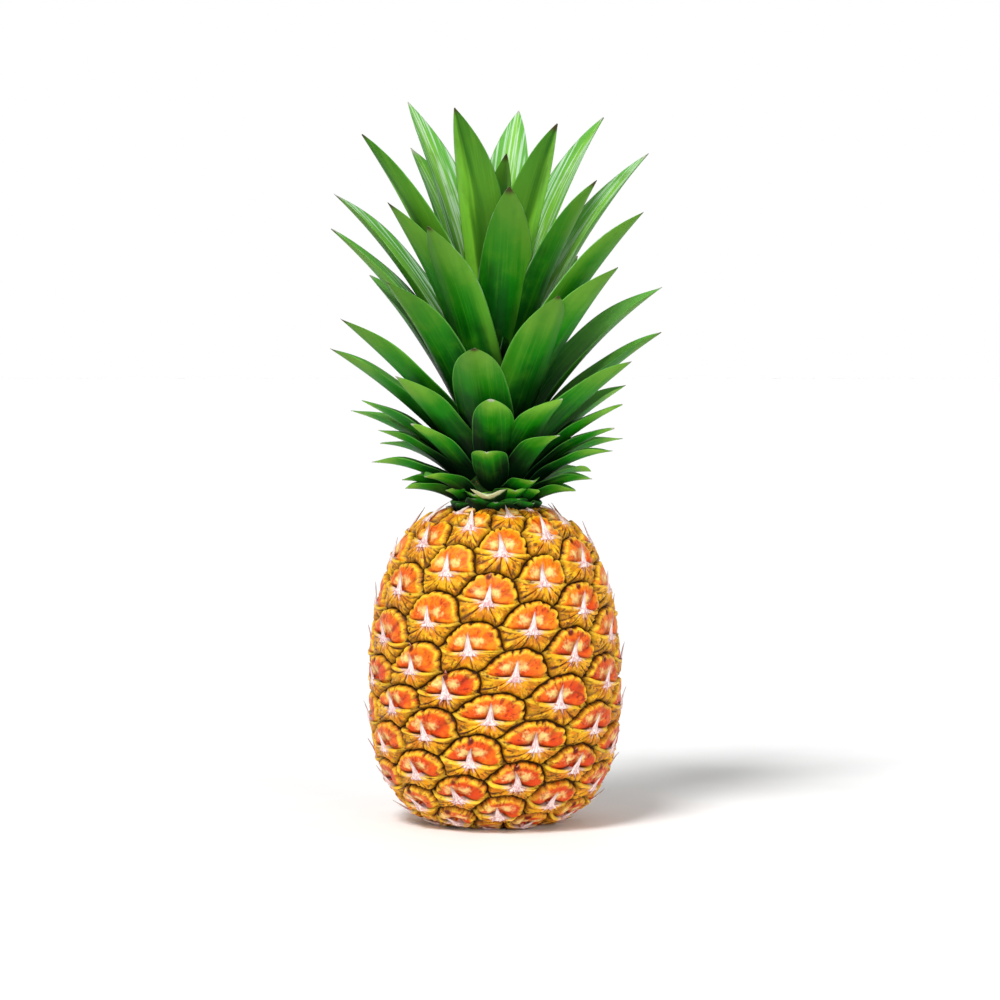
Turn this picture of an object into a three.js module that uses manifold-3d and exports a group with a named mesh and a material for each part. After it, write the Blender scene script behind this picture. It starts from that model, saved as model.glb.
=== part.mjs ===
// A ripe pineapple standing upright on its base.
//
// Three bodies that grew together: the fruit, whose rind is one spiral of eyes; the crown, a short
// stem carrying all its leaves; and the cut end of the stalk under the fruit.
//
// Frame: millimetres, +Z up, origin at the centre of the base on the surface it stands on.
// Azimuths are in degrees from the front (-Y) and grow towards +X.

import * as THREE from 'three';
import { mergeVertices } from 'three/addons/utils/BufferGeometryUtils.js';
import Module from 'manifold-3d';

const wasm = await Module();
wasm.setup();

// ---------------------------------------------------------------- driving dimensions, in mm

// Body: a superellipse turned about Z.
const BELLY_RADIUS = 61.5;
const BELLY_HEIGHT = 66;
const TOP_REACH = 94;
const BASE_REACH = 68.8;
const RADIAL_POWER = 2.9;
const AXIAL_POWER = 2.4;
const DIMPLE_RADIUS = 34;
const DIMPLE_DEPTH = 10;

// Spiral of eyes: eye k sits DIVERGENCE degrees round from eye k - 1.
const FIRST_AZIMUTH = -4.6;
const DIVERGENCE = 137.75;
const FIRST_EYE_ARC = 49.8;
const ARC_STEP = 1.8;
const ARC_STEP_GROWTH = 0.0028;
const TOP_EYE = 36;
const BASE_EYE = -98;
const TOP_CROWDING = { start: 100, span: 25 };
const BASE_CROWDING = { start: 85, span: 20 };
const EYE_JITTER = 0.5;

// Eyes that stand off the even spiral: eye, distance to the right and distance up.
const EYE_SHIFTS = [
  [26, 0, 3], [21, -2.5, 1.5], [16, 1.5, -2.5], [10, -4.5, -1.5], [3, 2, -2], [-3, -2, 1], [-5, 4, -0.5],
  [-10, 8, -4], [-11, -6, 0], [-13, 2.5, -1.5], [-16, -1.5, 2], [-18, 7, -4], [-21, 3, 0], [-23, 4, -2],
  [-29, 2.5, -1.5], [-34, -5, 2.5], [-37, -0.5, -3], [-42, -3.5, 0.5], [-50, -4, 1],
];

// The arch over each eye: how steeply it leaves its wing corners, and how far its curve is pulled
// there and over the top, as shares of the distance between its corners.
const WING_SLOPE = 20;
const WING_PULL = 0.9;
const ARCH_PULL = 1.2;

// Relief of one eye, measured out from the mid surface of the rind.
const GROOVE_DEPTH = 1.3;
const SEPAL_RISE = 1.1;
const SKIRT_RISE = 1.9;
const SHOULDER_SCALE = 0.8;
const SPIKE_HALF_WIDTH = 2.6;
const SPIKE_DROP = 4;
const SPIKE_SHOULDER = 1.6;
const SPIKE_LENGTH = 10.5;
const SPIKE_STAND = 5;
const SPIKE_LEAN = 2;
const SPIKE_LEAST_SIZE = 0.35;
const FULL_EYE_RADIUS = 45;
const PLAIN_EYE_RADIUS = 21;

// Seats cut in the fruit, and the clearance left round what sits in them.
const CLEARANCE = 0.3;
const STALK_RADIUS = 15;
const STALK_LENGTH = 7.7;
const CROWN_STEM_RADIUS = 20;
const CROWN_SEAT_HEIGHT = 156;
const SEAT_SIDES = 20;

// Crown stem: tapers from its seat to a rounded end among the youngest leaves.
const CROWN_STEM_LENGTH = 76;
const CROWN_STEM_TAPER = 0.8;

// Crown leaves, one row for each upright column, from its oldest leaf to its youngest. The last row
// holds the leaves that stand between the columns. Each leaf: azimuth of its tip in degrees, reach
// of its tip from the axis, height of its tip above the crown seat.
const LEAF_COLUMNS = [
  [[-5, 38, 9], [-4, 56, 31], [-2, 60, 57], [-8, 70, 82], [8, 50, 160]],
  [[34, 34, 16], [36, 54, 39], [34, 59, 57], [29, 64, 107], [62, 57, 164]],
  [[80, 41, 10], [82, 49, 16], [85, 59, 30], [88, 64, 53], [62, 76, 75], [118, 97, 112], [60, 84, 148]],
  [[125, 60, 18], [112, 70, 35], [116, 74, 62], [102, 86, 89], [50, 78, 121], [118, 89, 180]],
  [[178, 42, 12], [174, 58, 34], [170, 66, 60], [176, 74, 88], [170, 80, 120], [165, 47, 202]],
  [[-142, 60, 14], [-125, 72, 32], [-116, 82, 49], [-120, 74, 118], [-108, 86, 159], [-130, 58, 206]],
  [[-88, 45, 11], [-92, 62, 24], [-95, 59, 40], [-92, 67, 55], [-94, 83, 81], [-70, 81, 96],
    [-100, 84, 141]],
  [[-52, 44, 18], [-58, 49, 44], [-52, 62, 68], [-48, 71, 114], [-35, 57, 141], [-58, 62, 153]],
  [[88, 60, 41], [-95, 47, 15], [124, 67, 198], [38, 50, 191], [-28, 42, 199], [-62, 74, 186],
    [-135, 61, 183], [40, 9, 178], [-80, 12, 140], [-165, 55, 165], [140, 66, 128]],
];

// A ring of short scale leaves closes the crown's foot.
const SCALE_LEAVES = 8;
const SCALE_LEAF_TURN = 22;
const SCALE_LEAF_REACH = 26;
const SCALE_LEAF_TIP = 9;

// Leaf proportions. The root height on the stem and the width both follow the tip's height.
const ROOT_BASE = 0.5;
const ROOT_RISE = 0.27;
const ROOT_DEPTH = 0.85;
const LEAF_WIDTH = { young: 18, grown: 28, inner: 27 };
const LEAF_GROWN_HEIGHTS = [40, 85];
const LEAF_INNER_HEIGHTS = [130, 205];
const LEAF_BASE_WIDTH = 0.62;
const LEAF_WIDEST_AT = 0.4;
const LEAF_TAPER = 3.2;
const LEAF_THICKNESS = { base: 2.6, tip: 1.2 };
const LEAF_CUP = { base: 0.5, tip: 0.36 };
const LEAF_BEND = { old: 24, middle: 9, young: 15 };
const LEAF_BEND_HEIGHTS = { old: [20, 75], young: [90, 125] };
const LEAF_SWAY = 4;
const LEAF_FLANK_AT = 0.55;
const LEAF_FLANK_LIFT = 0.45;
const LEAF_STATIONS = [0, 0.18, 0.4, 0.62, 0.8, 0.92];
const SHORT_LEAF_HEIGHT = 20;
const SHORT_LEAF_STATIONS = [0, 0.3, 0.6, 0.87];

// ---------------------------------------------------------------- helpers

const DEGREES = Math.PI / 180;
const lerp = THREE.MathUtils.lerp;
const smoothstep = THREE.MathUtils.smoothstep;

// Repeatable noise in -1..1 for a whole number and a channel.
function noise(index, channel) {
  const value = Math.sin(index * 12.9898 + channel * 78.233 + 4.137) * 43758.5453;
  return 2 * (value - Math.floor(value)) - 1;
}

// A closed body from points and triangles that share them by index.
function solidFrom(points, triangles) {
  return new wasm.Manifold(new wasm.Mesh({
    numProp: 3,
    vertProperties: new Float32Array(points.flat()),
    triVerts: new Uint32Array(triangles.flat()),
  }));
}

function solidFromGeometry(geometry) {
  geometry.deleteAttribute('normal');
  geometry.deleteAttribute('uv');
  const merged = mergeVertices(geometry);
  return new wasm.Manifold(new wasm.Mesh({
    numProp: 3,
    vertProperties: merged.attributes.position.array,
    triVerts: new Uint32Array(merged.index.array),
  }));
}

function geometryFromSolid(solid) {
  const mesh = solid.getMesh();
  const geometry = new THREE.BufferGeometry();
  geometry.setAttribute('position', new THREE.BufferAttribute(mesh.vertProperties, 3));
  geometry.setIndex(new THREE.BufferAttribute(mesh.triVerts, 1));
  geometry.computeVertexNormals();
  return geometry;
}

// The main body alone: hollows sealed between joined pieces are filled and loose scraps dropped.
function largestBody(solid) {
  return solid.decompose().reduce((kept, body) => (body.volume() > kept.volume() ? body : kept));
}

// An upright cylinder between two heights.
function uprightCylinder(radius, low, high) {
  const geometry = new THREE.CylinderGeometry(radius, radius, high - low, SEAT_SIDES);
  geometry.rotateX(90 * DEGREES);
  geometry.translate(0, 0, (low + high) / 2);
  return geometry;
}

function namedMesh(name, geometry, color, roughness) {
  const material = new THREE.MeshStandardMaterial({ color, roughness, metalness: 0 });
  const mesh = new THREE.Mesh(geometry, material);
  mesh.name = name;
  return mesh;
}

// ---------------------------------------------------------------- fruit body

// Radius and height of the mid surface at a latitude, 90 degrees being the top.
function bodyAt(latitude) {
  const radius = BELLY_RADIUS * Math.cos(latitude) ** (2 / RADIAL_POWER);
  const reach = latitude > 0 ? TOP_REACH : -BASE_REACH;
  const height = BELLY_HEIGHT + reach * Math.abs(Math.sin(latitude)) ** (2 / AXIAL_POWER);
  const dimple = latitude < 0 ? DIMPLE_DEPTH * Math.max(0, 1 - radius / DIMPLE_RADIUS) ** 2 : 0;
  return { radius, height: height + dimple };
}

// The profile as points spaced along its arc, measured from the belly and negative below it.
function measureProfile() {
  const steps = 1500;
  const points = [];
  for (const side of [-1, 1]) {
    let arc = 0;
    let last = bodyAt(0);
    for (let i = 1; i <= steps; i += 1) {
      const point = bodyAt(side * 89.99 * DEGREES * i / steps);
      arc += Math.hypot(point.radius - last.radius, point.height - last.height);
      points.push({ arc: side * arc, ...point });
      last = point;
    }
  }
  points.push({ arc: 0, ...bodyAt(0) });
  return points.sort((a, b) => a.arc - b.arc);
}

const PROFILE = measureProfile();

// Point and outward slope of the profile at an arc length.
function profileAt(arc) {
  let low = 0;
  let high = PROFILE.length - 1;
  while (high - low > 1) {
    const middle = (low + high) >> 1;
    if (PROFILE[middle].arc > arc) high = middle;
    else low = middle;
  }
  const a = PROFILE[low];
  const b = PROFILE[high];
  const share = THREE.MathUtils.clamp((arc - a.arc) / (b.arc - a.arc), 0, 1);
  const length = Math.hypot(b.radius - a.radius, b.height - a.height);
  return {
    radius: lerp(a.radius, b.radius, share),
    height: lerp(a.height, b.height, share),
    outward: (b.height - a.height) / length,
    upward: (a.radius - b.radius) / length,
  };
}

// A point standing off the mid surface, from its azimuth in degrees and its arc length.
function rindPoint(azimuth, arc, standOff) {
  const at = profileAt(arc);
  const radius = at.radius + at.outward * standOff;
  const angle = azimuth * DEGREES;
  return [
    radius * Math.sin(angle),
    -radius * Math.cos(angle),
    at.height + at.upward * standOff,
  ];
}

// ---------------------------------------------------------------- spiral of eyes

// Arc lengths past the start of a crowded end close up towards the axis.
function crowd(arc, limits) {
  if (arc < limits.start) return arc;
  return limits.start + limits.span * (1 - Math.exp((limits.start - arc) / limits.span));
}

const SHIFTS = new Map(EYE_SHIFTS.map(([k, right, up]) => [k, { right, up }]));

function eyeShift(k) {
  return SHIFTS.get(k) ?? { right: 0, up: 0 };
}

function eyeArc(k) {
  const arc = FIRST_EYE_ARC + ARC_STEP * k + ARC_STEP_GROWTH * k * k;
  const crowded = arc > 0 ? crowd(arc, TOP_CROWDING) : -crowd(-arc, BASE_CROWDING);
  return crowded + eyeShift(k).up;
}

// Degrees of azimuth for each mm across the rind near eye k.
function eyeTurn(k) {
  return 1 / Math.max(profileAt(eyeArc(k)).radius, PLAIN_EYE_RADIUS) / DEGREES;
}

function eyeAzimuth(k) {
  return FIRST_AZIMUTH - DIVERGENCE * k + eyeShift(k).right * eyeTurn(k);
}

// Azimuth turned by whole turns to lie within half a turn of another.
function azimuthNear(azimuth, other) {
  return azimuth - 360 * Math.round((azimuth - other) / 360);
}

// Neighbours of eye k lie 5, 8 and 13 eyes along the spiral. Three eyes that touch share a corner.
function sharedCorner(k, steps, channel) {
  const base = eyeAzimuth(k);
  const azimuths = steps.map((step) => azimuthNear(eyeAzimuth(k + step), base));
  const arcs = steps.map((step) => eyeArc(k + step));
  const azimuth = (azimuths[0] + azimuths[1] + azimuths[2]) / 3;
  const arc = (arcs[0] + arcs[1] + arcs[2]) / 3;
  const radius = Math.max(profileAt(arc).radius, PLAIN_EYE_RADIUS);
  return {
    azimuth: azimuth + EYE_JITTER * noise(k, channel) / radius / DEGREES,
    arc: arc + EYE_JITTER * noise(k, channel + 1),
  };
}

const leftTopCorner = (k) => sharedCorner(k, [0, 8, 13], 1);
const rightTopCorner = (k) => sharedCorner(k, [0, 5, 13], 3);

// The arch over eye k as three curves, from its left wing corner over its two top corners to its
// right wing corner. Each curve is given by its two ends and its middle.
function eyeArch(k) {
  const centre = eyeAzimuth(k);
  const turn = eyeTurn(k);
  const corners = [rightTopCorner(k - 5), leftTopCorner(k), rightTopCorner(k), leftTopCorner(k - 8)];
  const flat = corners.map((corner) => new THREE.Vector2(
    (azimuthNear(corner.azimuth, centre) - centre) / turn,
    corner.arc,
  ));
  const slope = WING_SLOPE * DEGREES;
  const heading = [
    new THREE.Vector2(WING_PULL * Math.cos(slope), WING_PULL * Math.sin(slope)),
    flat[2].clone().sub(flat[0]).setLength(ARCH_PULL),
    flat[3].clone().sub(flat[1]).setLength(ARCH_PULL),
    new THREE.Vector2(WING_PULL * Math.cos(slope), -WING_PULL * Math.sin(slope)),
  ];
  return [0, 1, 2].map((i) => {
    const length = flat[i].distanceTo(flat[i + 1]);
    const middle = flat[i].clone().add(flat[i + 1]).multiplyScalar(0.5)
      .addScaledVector(heading[i], length / 8)
      .addScaledVector(heading[i + 1], -length / 8);
    return {
      start: corners[i],
      middle: { azimuth: centre + middle.x * turn, arc: middle.y },
      end: corners[i + 1],
    };
  });
}

// The boundary of eye k, clockwise from its left wing corner: its own arch, then back under it
// along the arches of the three eyes below.
function eyeBoundary(k) {
  const [left, top, right] = eyeArch(k);
  const below = [eyeArch(k - 8)[0], eyeArch(k - 13)[1], eyeArch(k - 5)[2]];
  const boundary = [
    ...[left, top, right].flatMap((curve) => [curve.start, curve.middle]),
    ...below.flatMap((curve) => [curve.end, curve.middle]),
  ];
  const centre = eyeAzimuth(k);
  return boundary.map((place) => ({ ...place, azimuth: azimuthNear(place.azimuth, centre) }));
}

// How fully eye k is formed: whole on the body, fading to flat where it is crowded.
function eyeFullness(k) {
  return smoothstep(profileAt(eyeArc(k)).radius, PLAIN_EYE_RADIUS, FULL_EYE_RADIUS);
}

// ---------------------------------------------------------------- fruit

function buildFruitSkin() {
  const points = [];
  const triangles = [];
  const known = new Map();

  function addPoint(point) {
    points.push(point);
    return points.length - 1;
  }

  // Boundary points are shared by neighbouring eyes, so each is made once.
  function boundaryPoint(place) {
    const turn = ((place.azimuth % 360) + 360) % 360;
    const key = `${Math.round(turn * 1000) % 360000} ${Math.round(place.arc * 1000)}`;
    if (!known.has(key)) known.set(key, addPoint(rindPoint(place.azimuth, place.arc, -GROOVE_DEPTH)));
    return known.get(key);
  }

  function addEye(k) {
    const boundary = eyeBoundary(k);
    const rim = boundary.map(boundaryPoint);
    const centre = {
      azimuth: boundary.reduce((sum, place) => sum + place.azimuth, 0) / boundary.length,
      arc: boundary.reduce((sum, place) => sum + place.arc, 0) / boundary.length,
    };
    const fullness = eyeFullness(k);
    const shoulder = boundary.map((place) => {
      const rise = place.arc > centre.arc ? SEPAL_RISE : SKIRT_RISE;
      return addPoint(rindPoint(
        lerp(centre.azimuth, place.azimuth, SHOULDER_SCALE),
        lerp(centre.arc, place.arc, SHOULDER_SCALE),
        rise * fullness,
      ));
    });
    rim.forEach((point, i) => {
      const next = (i + 1) % rim.length;
      triangles.push([point, shoulder[i], shoulder[next]], [point, shoulder[next], rim[next]]);
    });
    addSpike(k, centre, fullness, shoulder);
  }

  // The bract's papery point: a four-sided spike rising from the middle of the eye.
  function addSpike(k, centre, fullness, shoulder) {
    const size = lerp(SPIKE_LEAST_SIZE, 1, fullness);
    const radius = Math.max(profileAt(centre.arc).radius, PLAIN_EYE_RADIUS);
    const turn = 1 / radius / DEGREES;
    const spread = SPIKE_HALF_WIDTH * size;
    const place = (across, along, standOff) => addPoint(rindPoint(
      centre.azimuth + across * turn,
      centre.arc + along * size,
      standOff * fullness,
    ));
    const top = place(0, SPIKE_SHOULDER, SEPAL_RISE);
    const right = place(spread, -SPIKE_SHOULDER, SKIRT_RISE);
    const bottom = place(0, -SPIKE_DROP, SKIRT_RISE);
    const left = place(-spread, -SPIKE_SHOULDER, SKIRT_RISE);
    const length = SPIKE_LENGTH - SPIKE_DROP + noise(k, 6);
    const tip = place(SPIKE_LEAN * noise(k, 5), length, SPIKE_STAND);
    const base = [top, right, bottom, left];
    base.forEach((point, i) => triangles.push([point, tip, base[(i + 1) % 4]]));
    joinRings(shoulder, base);
  }

  // The twelve shoulder points round the spike's four base points, three to each side. The first
  // side, over the spike's top, starts one point on from the left wing corner.
  function joinRings(shoulder, base) {
    for (let side = 0; side < 4; side += 1) {
      const inner = base[side];
      const nextInner = base[(side + 1) % 4];
      for (let i = 1; i <= 3; i += 1) {
        const from = shoulder[(side * 3 + i) % 12];
        const to = shoulder[(side * 3 + i + 1) % 12];
        triangles.push([from, inner, to]);
      }
      triangles.push([shoulder[(side * 3 + 4) % 12], inner, nextInner]);
    }
  }

  for (let k = BASE_EYE; k <= TOP_EYE; k += 1) addEye(k);
  closeEnds(points, triangles, addPoint);
  return solidFrom(points, triangles);
}

// Edges left with one triangle ring the two ends of the axis, and each ring is fanned to its end.
function closeEnds(points, triangles, addPoint) {
  const edges = new Set();
  for (const [a, b, c] of triangles) {
    edges.add(`${a} ${b}`);
    edges.add(`${b} ${c}`);
    edges.add(`${c} ${a}`);
  }
  const top = addPoint(rindPoint(0, PROFILE.at(-1).arc, 0));
  const base = addPoint(rindPoint(0, PROFILE[0].arc, 0));
  for (const edge of edges) {
    const [a, b] = edge.split(' ').map(Number);
    if (!edges.has(`${b} ${a}`)) triangles.push([b, a, points[a][2] > BELLY_HEIGHT ? top : base]);
  }
}

// The fruit, levelled where it stands and hollowed for its stalk and its crown's stem.
function buildFruit() {
  const below = 10;
  const ground = solidFromGeometry(
    new THREE.BoxGeometry(4 * BELLY_RADIUS, 4 * BELLY_RADIUS, below).translate(0, 0, -below / 2),
  );
  const stalkSocket = solidFromGeometry(
    uprightCylinder(STALK_RADIUS + CLEARANCE, -below, STALK_LENGTH + CLEARANCE),
  );
  const crownSeat = solidFromGeometry(
    uprightCylinder(CROWN_STEM_RADIUS + CLEARANCE, CROWN_SEAT_HEIGHT, BELLY_HEIGHT + 2 * TOP_REACH),
  );
  const solid = buildFruitSkin().subtract(ground).subtract(stalkSocket).subtract(crownSeat);
  return namedMesh('fruit', geometryFromSolid(largestBody(solid)), 0xf0a01e, 0.55);
}

// ---------------------------------------------------------------- stalk end

function buildStalk() {
  const geometry = uprightCylinder(STALK_RADIUS, 0, STALK_LENGTH);
  return namedMesh('stalk', geometryFromSolid(solidFromGeometry(geometry)), 0xb59a62, 0.8);
}

// ---------------------------------------------------------------- crown

// Radius of the crown's stem at a height above its foot.
function stemRadius(height) {
  const share = THREE.MathUtils.clamp(height / CROWN_STEM_LENGTH, 0, 1);
  return CROWN_STEM_RADIUS * (1 - share) ** CROWN_STEM_TAPER;
}

function buildStem() {
  const rings = 7;
  const profile = [new THREE.Vector2(0, 0)];
  for (let i = 0; i < rings; i += 1) {
    const height = CROWN_STEM_LENGTH * i / rings;
    profile.push(new THREE.Vector2(stemRadius(height), height));
  }
  profile.push(new THREE.Vector2(0, CROWN_STEM_LENGTH));
  const geometry = new THREE.LatheGeometry(profile, SEAT_SIDES);
  geometry.rotateX(90 * DEGREES);
  geometry.translate(0, 0, CROWN_SEAT_HEIGHT + CLEARANCE);
  return solidFromGeometry(geometry);
}

// How far a leaf's ends turn from its chord: old leaves arch most, those half way up least.
function leafBend(height) {
  const pastOld = smoothstep(height, ...LEAF_BEND_HEIGHTS.old);
  const young = smoothstep(height, ...LEAF_BEND_HEIGHTS.young);
  return lerp(lerp(LEAF_BEND.old, LEAF_BEND.middle, pastOld), LEAF_BEND.young, young);
}

// The mid-rib: a cubic curve in the upright plane of the leaf, with x the reach from the axis and
// y the height above the crown seat.
function leafRib(reach, height) {
  const root = ROOT_BASE + ROOT_RISE * height;
  const start = new THREE.Vector2(ROOT_DEPTH * stemRadius(root), root);
  const end = new THREE.Vector2(reach, height);
  const chord = end.clone().sub(start);
  const bend = leafBend(height) * DEGREES;
  const handle = chord.length() / 3;
  const outgoing = new THREE.Vector2(handle, 0).rotateAround(new THREE.Vector2(), chord.angle() + bend);
  const incoming = new THREE.Vector2(handle, 0).rotateAround(new THREE.Vector2(), chord.angle() - bend);
  return new THREE.CubicBezierCurve(start, start.clone().add(outgoing), end.clone().sub(incoming), end);
}

// Full width of a leaf, from the height of its tip.
function leafWidth(height) {
  const grown = smoothstep(height, ...LEAF_GROWN_HEIGHTS);
  const inner = smoothstep(height, ...LEAF_INNER_HEIGHTS);
  return lerp(lerp(LEAF_WIDTH.young, LEAF_WIDTH.grown, grown), LEAF_WIDTH.inner, inner);
}

// Share of the full width at a share of the length: narrower at the root, widest before half way,
// then running out to a point.
function widthShare(t) {
  if (t < LEAF_WIDEST_AT) {
    return lerp(LEAF_BASE_WIDTH, 1, Math.sin(90 * DEGREES * t / LEAF_WIDEST_AT));
  }
  return 1 - ((t - LEAF_WIDEST_AT) / (1 - LEAF_WIDEST_AT)) ** LEAF_TAPER;
}

// One leaf: a trough with thin edges and a keel, as sections along its rib.
function buildLeaf([azimuth, reach, height], index) {
  const rib = leafRib(reach, height);
  const angle = azimuth * DEGREES;
  const outward = new THREE.Vector3(Math.sin(angle), -Math.cos(angle), 0);
  const across = new THREE.Vector3(Math.cos(angle), Math.sin(angle), 0);
  const sway = LEAF_SWAY * noise(index, 11);
  const points = [];
  const triangles = [];

  function addPoint(side, lift, t) {
    const centre = rib.getPoint(t);
    const tangent = rib.getTangent(t);
    const reachNow = centre.x - tangent.y * lift;
    const heightNow = centre.y + tangent.x * lift;
    const point = outward.clone().multiplyScalar(reachNow)
      .addScaledVector(across, side + sway * t * t * (1 - t) * 4);
    point.z = heightNow + CROWN_SEAT_HEIGHT + CLEARANCE;
    points.push(point.toArray());
  }

  function addSection(t) {
    const half = leafWidth(height) * widthShare(t) / 2;
    const edge = lerp(LEAF_CUP.base, LEAF_CUP.tip, t) * half;
    const thick = lerp(LEAF_THICKNESS.base, LEAF_THICKNESS.tip, t);
    const flank = LEAF_FLANK_LIFT * edge - thick / 2;
    addPoint(-half, edge, t);
    addPoint(0, thick / 2, t);
    addPoint(half, edge, t);
    addPoint(LEAF_FLANK_AT * half, flank, t);
    addPoint(0, -thick / 2, t);
    addPoint(-LEAF_FLANK_AT * half, flank, t);
  }

  const stations = height < SHORT_LEAF_HEIGHT ? SHORT_LEAF_STATIONS : LEAF_STATIONS;
  stations.forEach(addSection);
  const sides = 6;
  const last = (stations.length - 1) * sides;
  for (let i = 0; i < last; i += 1) {
    const next = i % sides === sides - 1 ? i + 1 - sides : i + 1;
    triangles.push([i, i + sides, next], [next, i + sides, next + sides]);
  }
  addPoint(0, 0, 1);
  const tip = points.length - 1;
  for (let i = 0; i < sides; i += 1) triangles.push([last + i, tip, last + (i + 1) % sides]);
  triangles.push([0, 1, 5], [1, 4, 5], [1, 3, 4], [1, 2, 3]);
  return solidFrom(points, triangles);
}

function buildCrown() {
  const scales = Array.from({ length: SCALE_LEAVES }, (_, i) => [
    SCALE_LEAF_TURN + 360 * i / SCALE_LEAVES,
    SCALE_LEAF_REACH + 2 * noise(i, 7),
    SCALE_LEAF_TIP + 2 * noise(i, 8),
  ]);
  const leaves = [...scales, ...LEAF_COLUMNS.flat()].map(buildLeaf);
  const solid = leaves.reduce((crown, leaf) => crown.add(leaf), buildStem());
  return namedMesh('crown', geometryFromSolid(largestBody(solid)), 0x2f7d24, 0.45);
}

// ---------------------------------------------------------------- assembly

const pineapple = new THREE.Group();
pineapple.name = 'pineapple';
pineapple.add(buildFruit(), buildStalk(), buildCrown());

export default pineapple;
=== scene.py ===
"""A ripe pineapple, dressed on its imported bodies.

Shapes are worked out in millimetres in the CAD frame and written to the meshes in metres. Azimuths
are in degrees from the front (-Y) and grow towards +X. The eyes, spikes and leaves follow the same
named values as the CAD part, so each finer piece lies on the solid that it stands for.
"""

import functools
import math
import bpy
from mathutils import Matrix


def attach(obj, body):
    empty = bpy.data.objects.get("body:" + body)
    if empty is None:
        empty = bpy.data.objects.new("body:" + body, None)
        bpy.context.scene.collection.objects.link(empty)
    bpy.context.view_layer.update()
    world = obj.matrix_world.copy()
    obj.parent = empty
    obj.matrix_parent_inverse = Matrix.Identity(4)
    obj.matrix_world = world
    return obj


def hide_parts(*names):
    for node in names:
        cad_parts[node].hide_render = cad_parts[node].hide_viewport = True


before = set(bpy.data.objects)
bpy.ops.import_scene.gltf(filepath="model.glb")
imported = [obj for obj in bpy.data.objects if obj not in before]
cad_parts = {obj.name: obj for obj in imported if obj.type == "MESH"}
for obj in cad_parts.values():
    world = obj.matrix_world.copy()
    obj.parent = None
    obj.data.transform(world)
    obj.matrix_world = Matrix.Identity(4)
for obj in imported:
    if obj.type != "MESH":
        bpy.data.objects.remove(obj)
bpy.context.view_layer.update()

from types import SimpleNamespace

import bpy
import numpy as np
from mathutils import Vector

MM = 0.001
DEGREES = math.pi / 180
FULL_TURN = 2 * math.pi

# ---- driving values, in mm
# A pair named for what varies holds its middle value and how far it goes from that.

# Body and spiral of eyes, as in the CAD part.
BELLY_RADIUS = 61.5
BELLY_HEIGHT = 66
TOP_REACH = 94
BASE_REACH = 68.8
RADIAL_POWER = 2.9
AXIAL_POWER = 2.4
DIMPLE_RADIUS = 34
DIMPLE_DEPTH = 10
FIRST_AZIMUTH = -4.6
DIVERGENCE = 137.75
FIRST_EYE_ARC = 49.8
ARC_STEP = 1.8
ARC_STEP_GROWTH = 0.0028
TOP_EYE = 36
BASE_EYE = -98
TOP_CROWDING = (100, 25)
BASE_CROWDING = (85, 20)
EYE_JITTER = 0.5
FULL_EYE_RADIUS = 45
PLAIN_EYE_RADIUS = 21
WING_SLOPE = 20
WING_PULL = 0.9
ARCH_PULL = 1.2

# Eyes that stand off the even spiral: distance to the right and distance up.
EYE_SHIFTS = {
    26: (0, 3), 21: (-2.5, 1.5), 16: (1.5, -2.5), 10: (-4.5, -1.5), 3: (2, -2), -3: (-2, 1), -5: (4, -0.5),
    -10: (8, -4), -11: (-6, 0), -13: (2.5, -1.5), -16: (-1.5, 2), -18: (7, -4), -21: (3, 0), -23: (4, -2),
    -29: (2.5, -1.5), -34: (-5, 2.5), -37: (-0.5, -3), -42: (-3.5, 0.5), -50: (-4, 1),
}

# The rind is three pieces, split at these eyes.
RIND_SPLITS = (-46, 0)
# Where the body's profile is measured: degrees of latitude, just short of the axis.
PROFILE_LATITUDES = np.linspace(-89.99, 89.99, 3001)

# Grid of one eye: SIDE_STEPS along each of its six sides, and RINGS from its hub to its rim.
SIDE_STEPS = 14
WING_STEPS = 2
RINGS = 20
RIM_DENSITY = 1.5
CORNER_DENSITY = 0.5
HUB_DROP = 0.6
WANDER = 0.3
WANDER_WAVES = 3

# Finer relief of one eye: the fan of sepals above its wings and the skirt of its bract below them.
# A climb is the shares of the way from hub to rim over which something rises.
GROOVE_DEPTH = 1.8
SLIT_DEPTH = 0.9
SLIT_CLIMB = (0.55, 0.95)
FAN_CORNER = 4.2
FAN_EDGE = 2.0
FAN_ROUNDNESS = 2.4
FAN_LOW = -0.5
FAN_HIGH = 1.8
FAN_CLIMB = (0.08, 0.6)
SKIRT_EDGE = 2.6
SKIRT_ROUNDNESS = 2
SKIRT_HIGH = 1.7
SLIVER_HIGH = 0.9
SLIVER_WIDTH = 0.8
WING_LIP = 0.9
WING_LIP_WIDTH = 1.4
WING_LIP_CLIMB = (0.05, 0.4)
WING_SAG = 1.8
WING_SAG_SPREAD = 0.5
WING_OVERHANG = 0.8
APEX_DEPTH = 0.9
APEX_WIDTH = 1.9
APEX_FROM_RIM = 2.6
APEX_SHIFT = 1.5
APEX_ANGLES = (0.3, 0.6)
APEX_CHANCE = (-0.6, 0.4)

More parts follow.
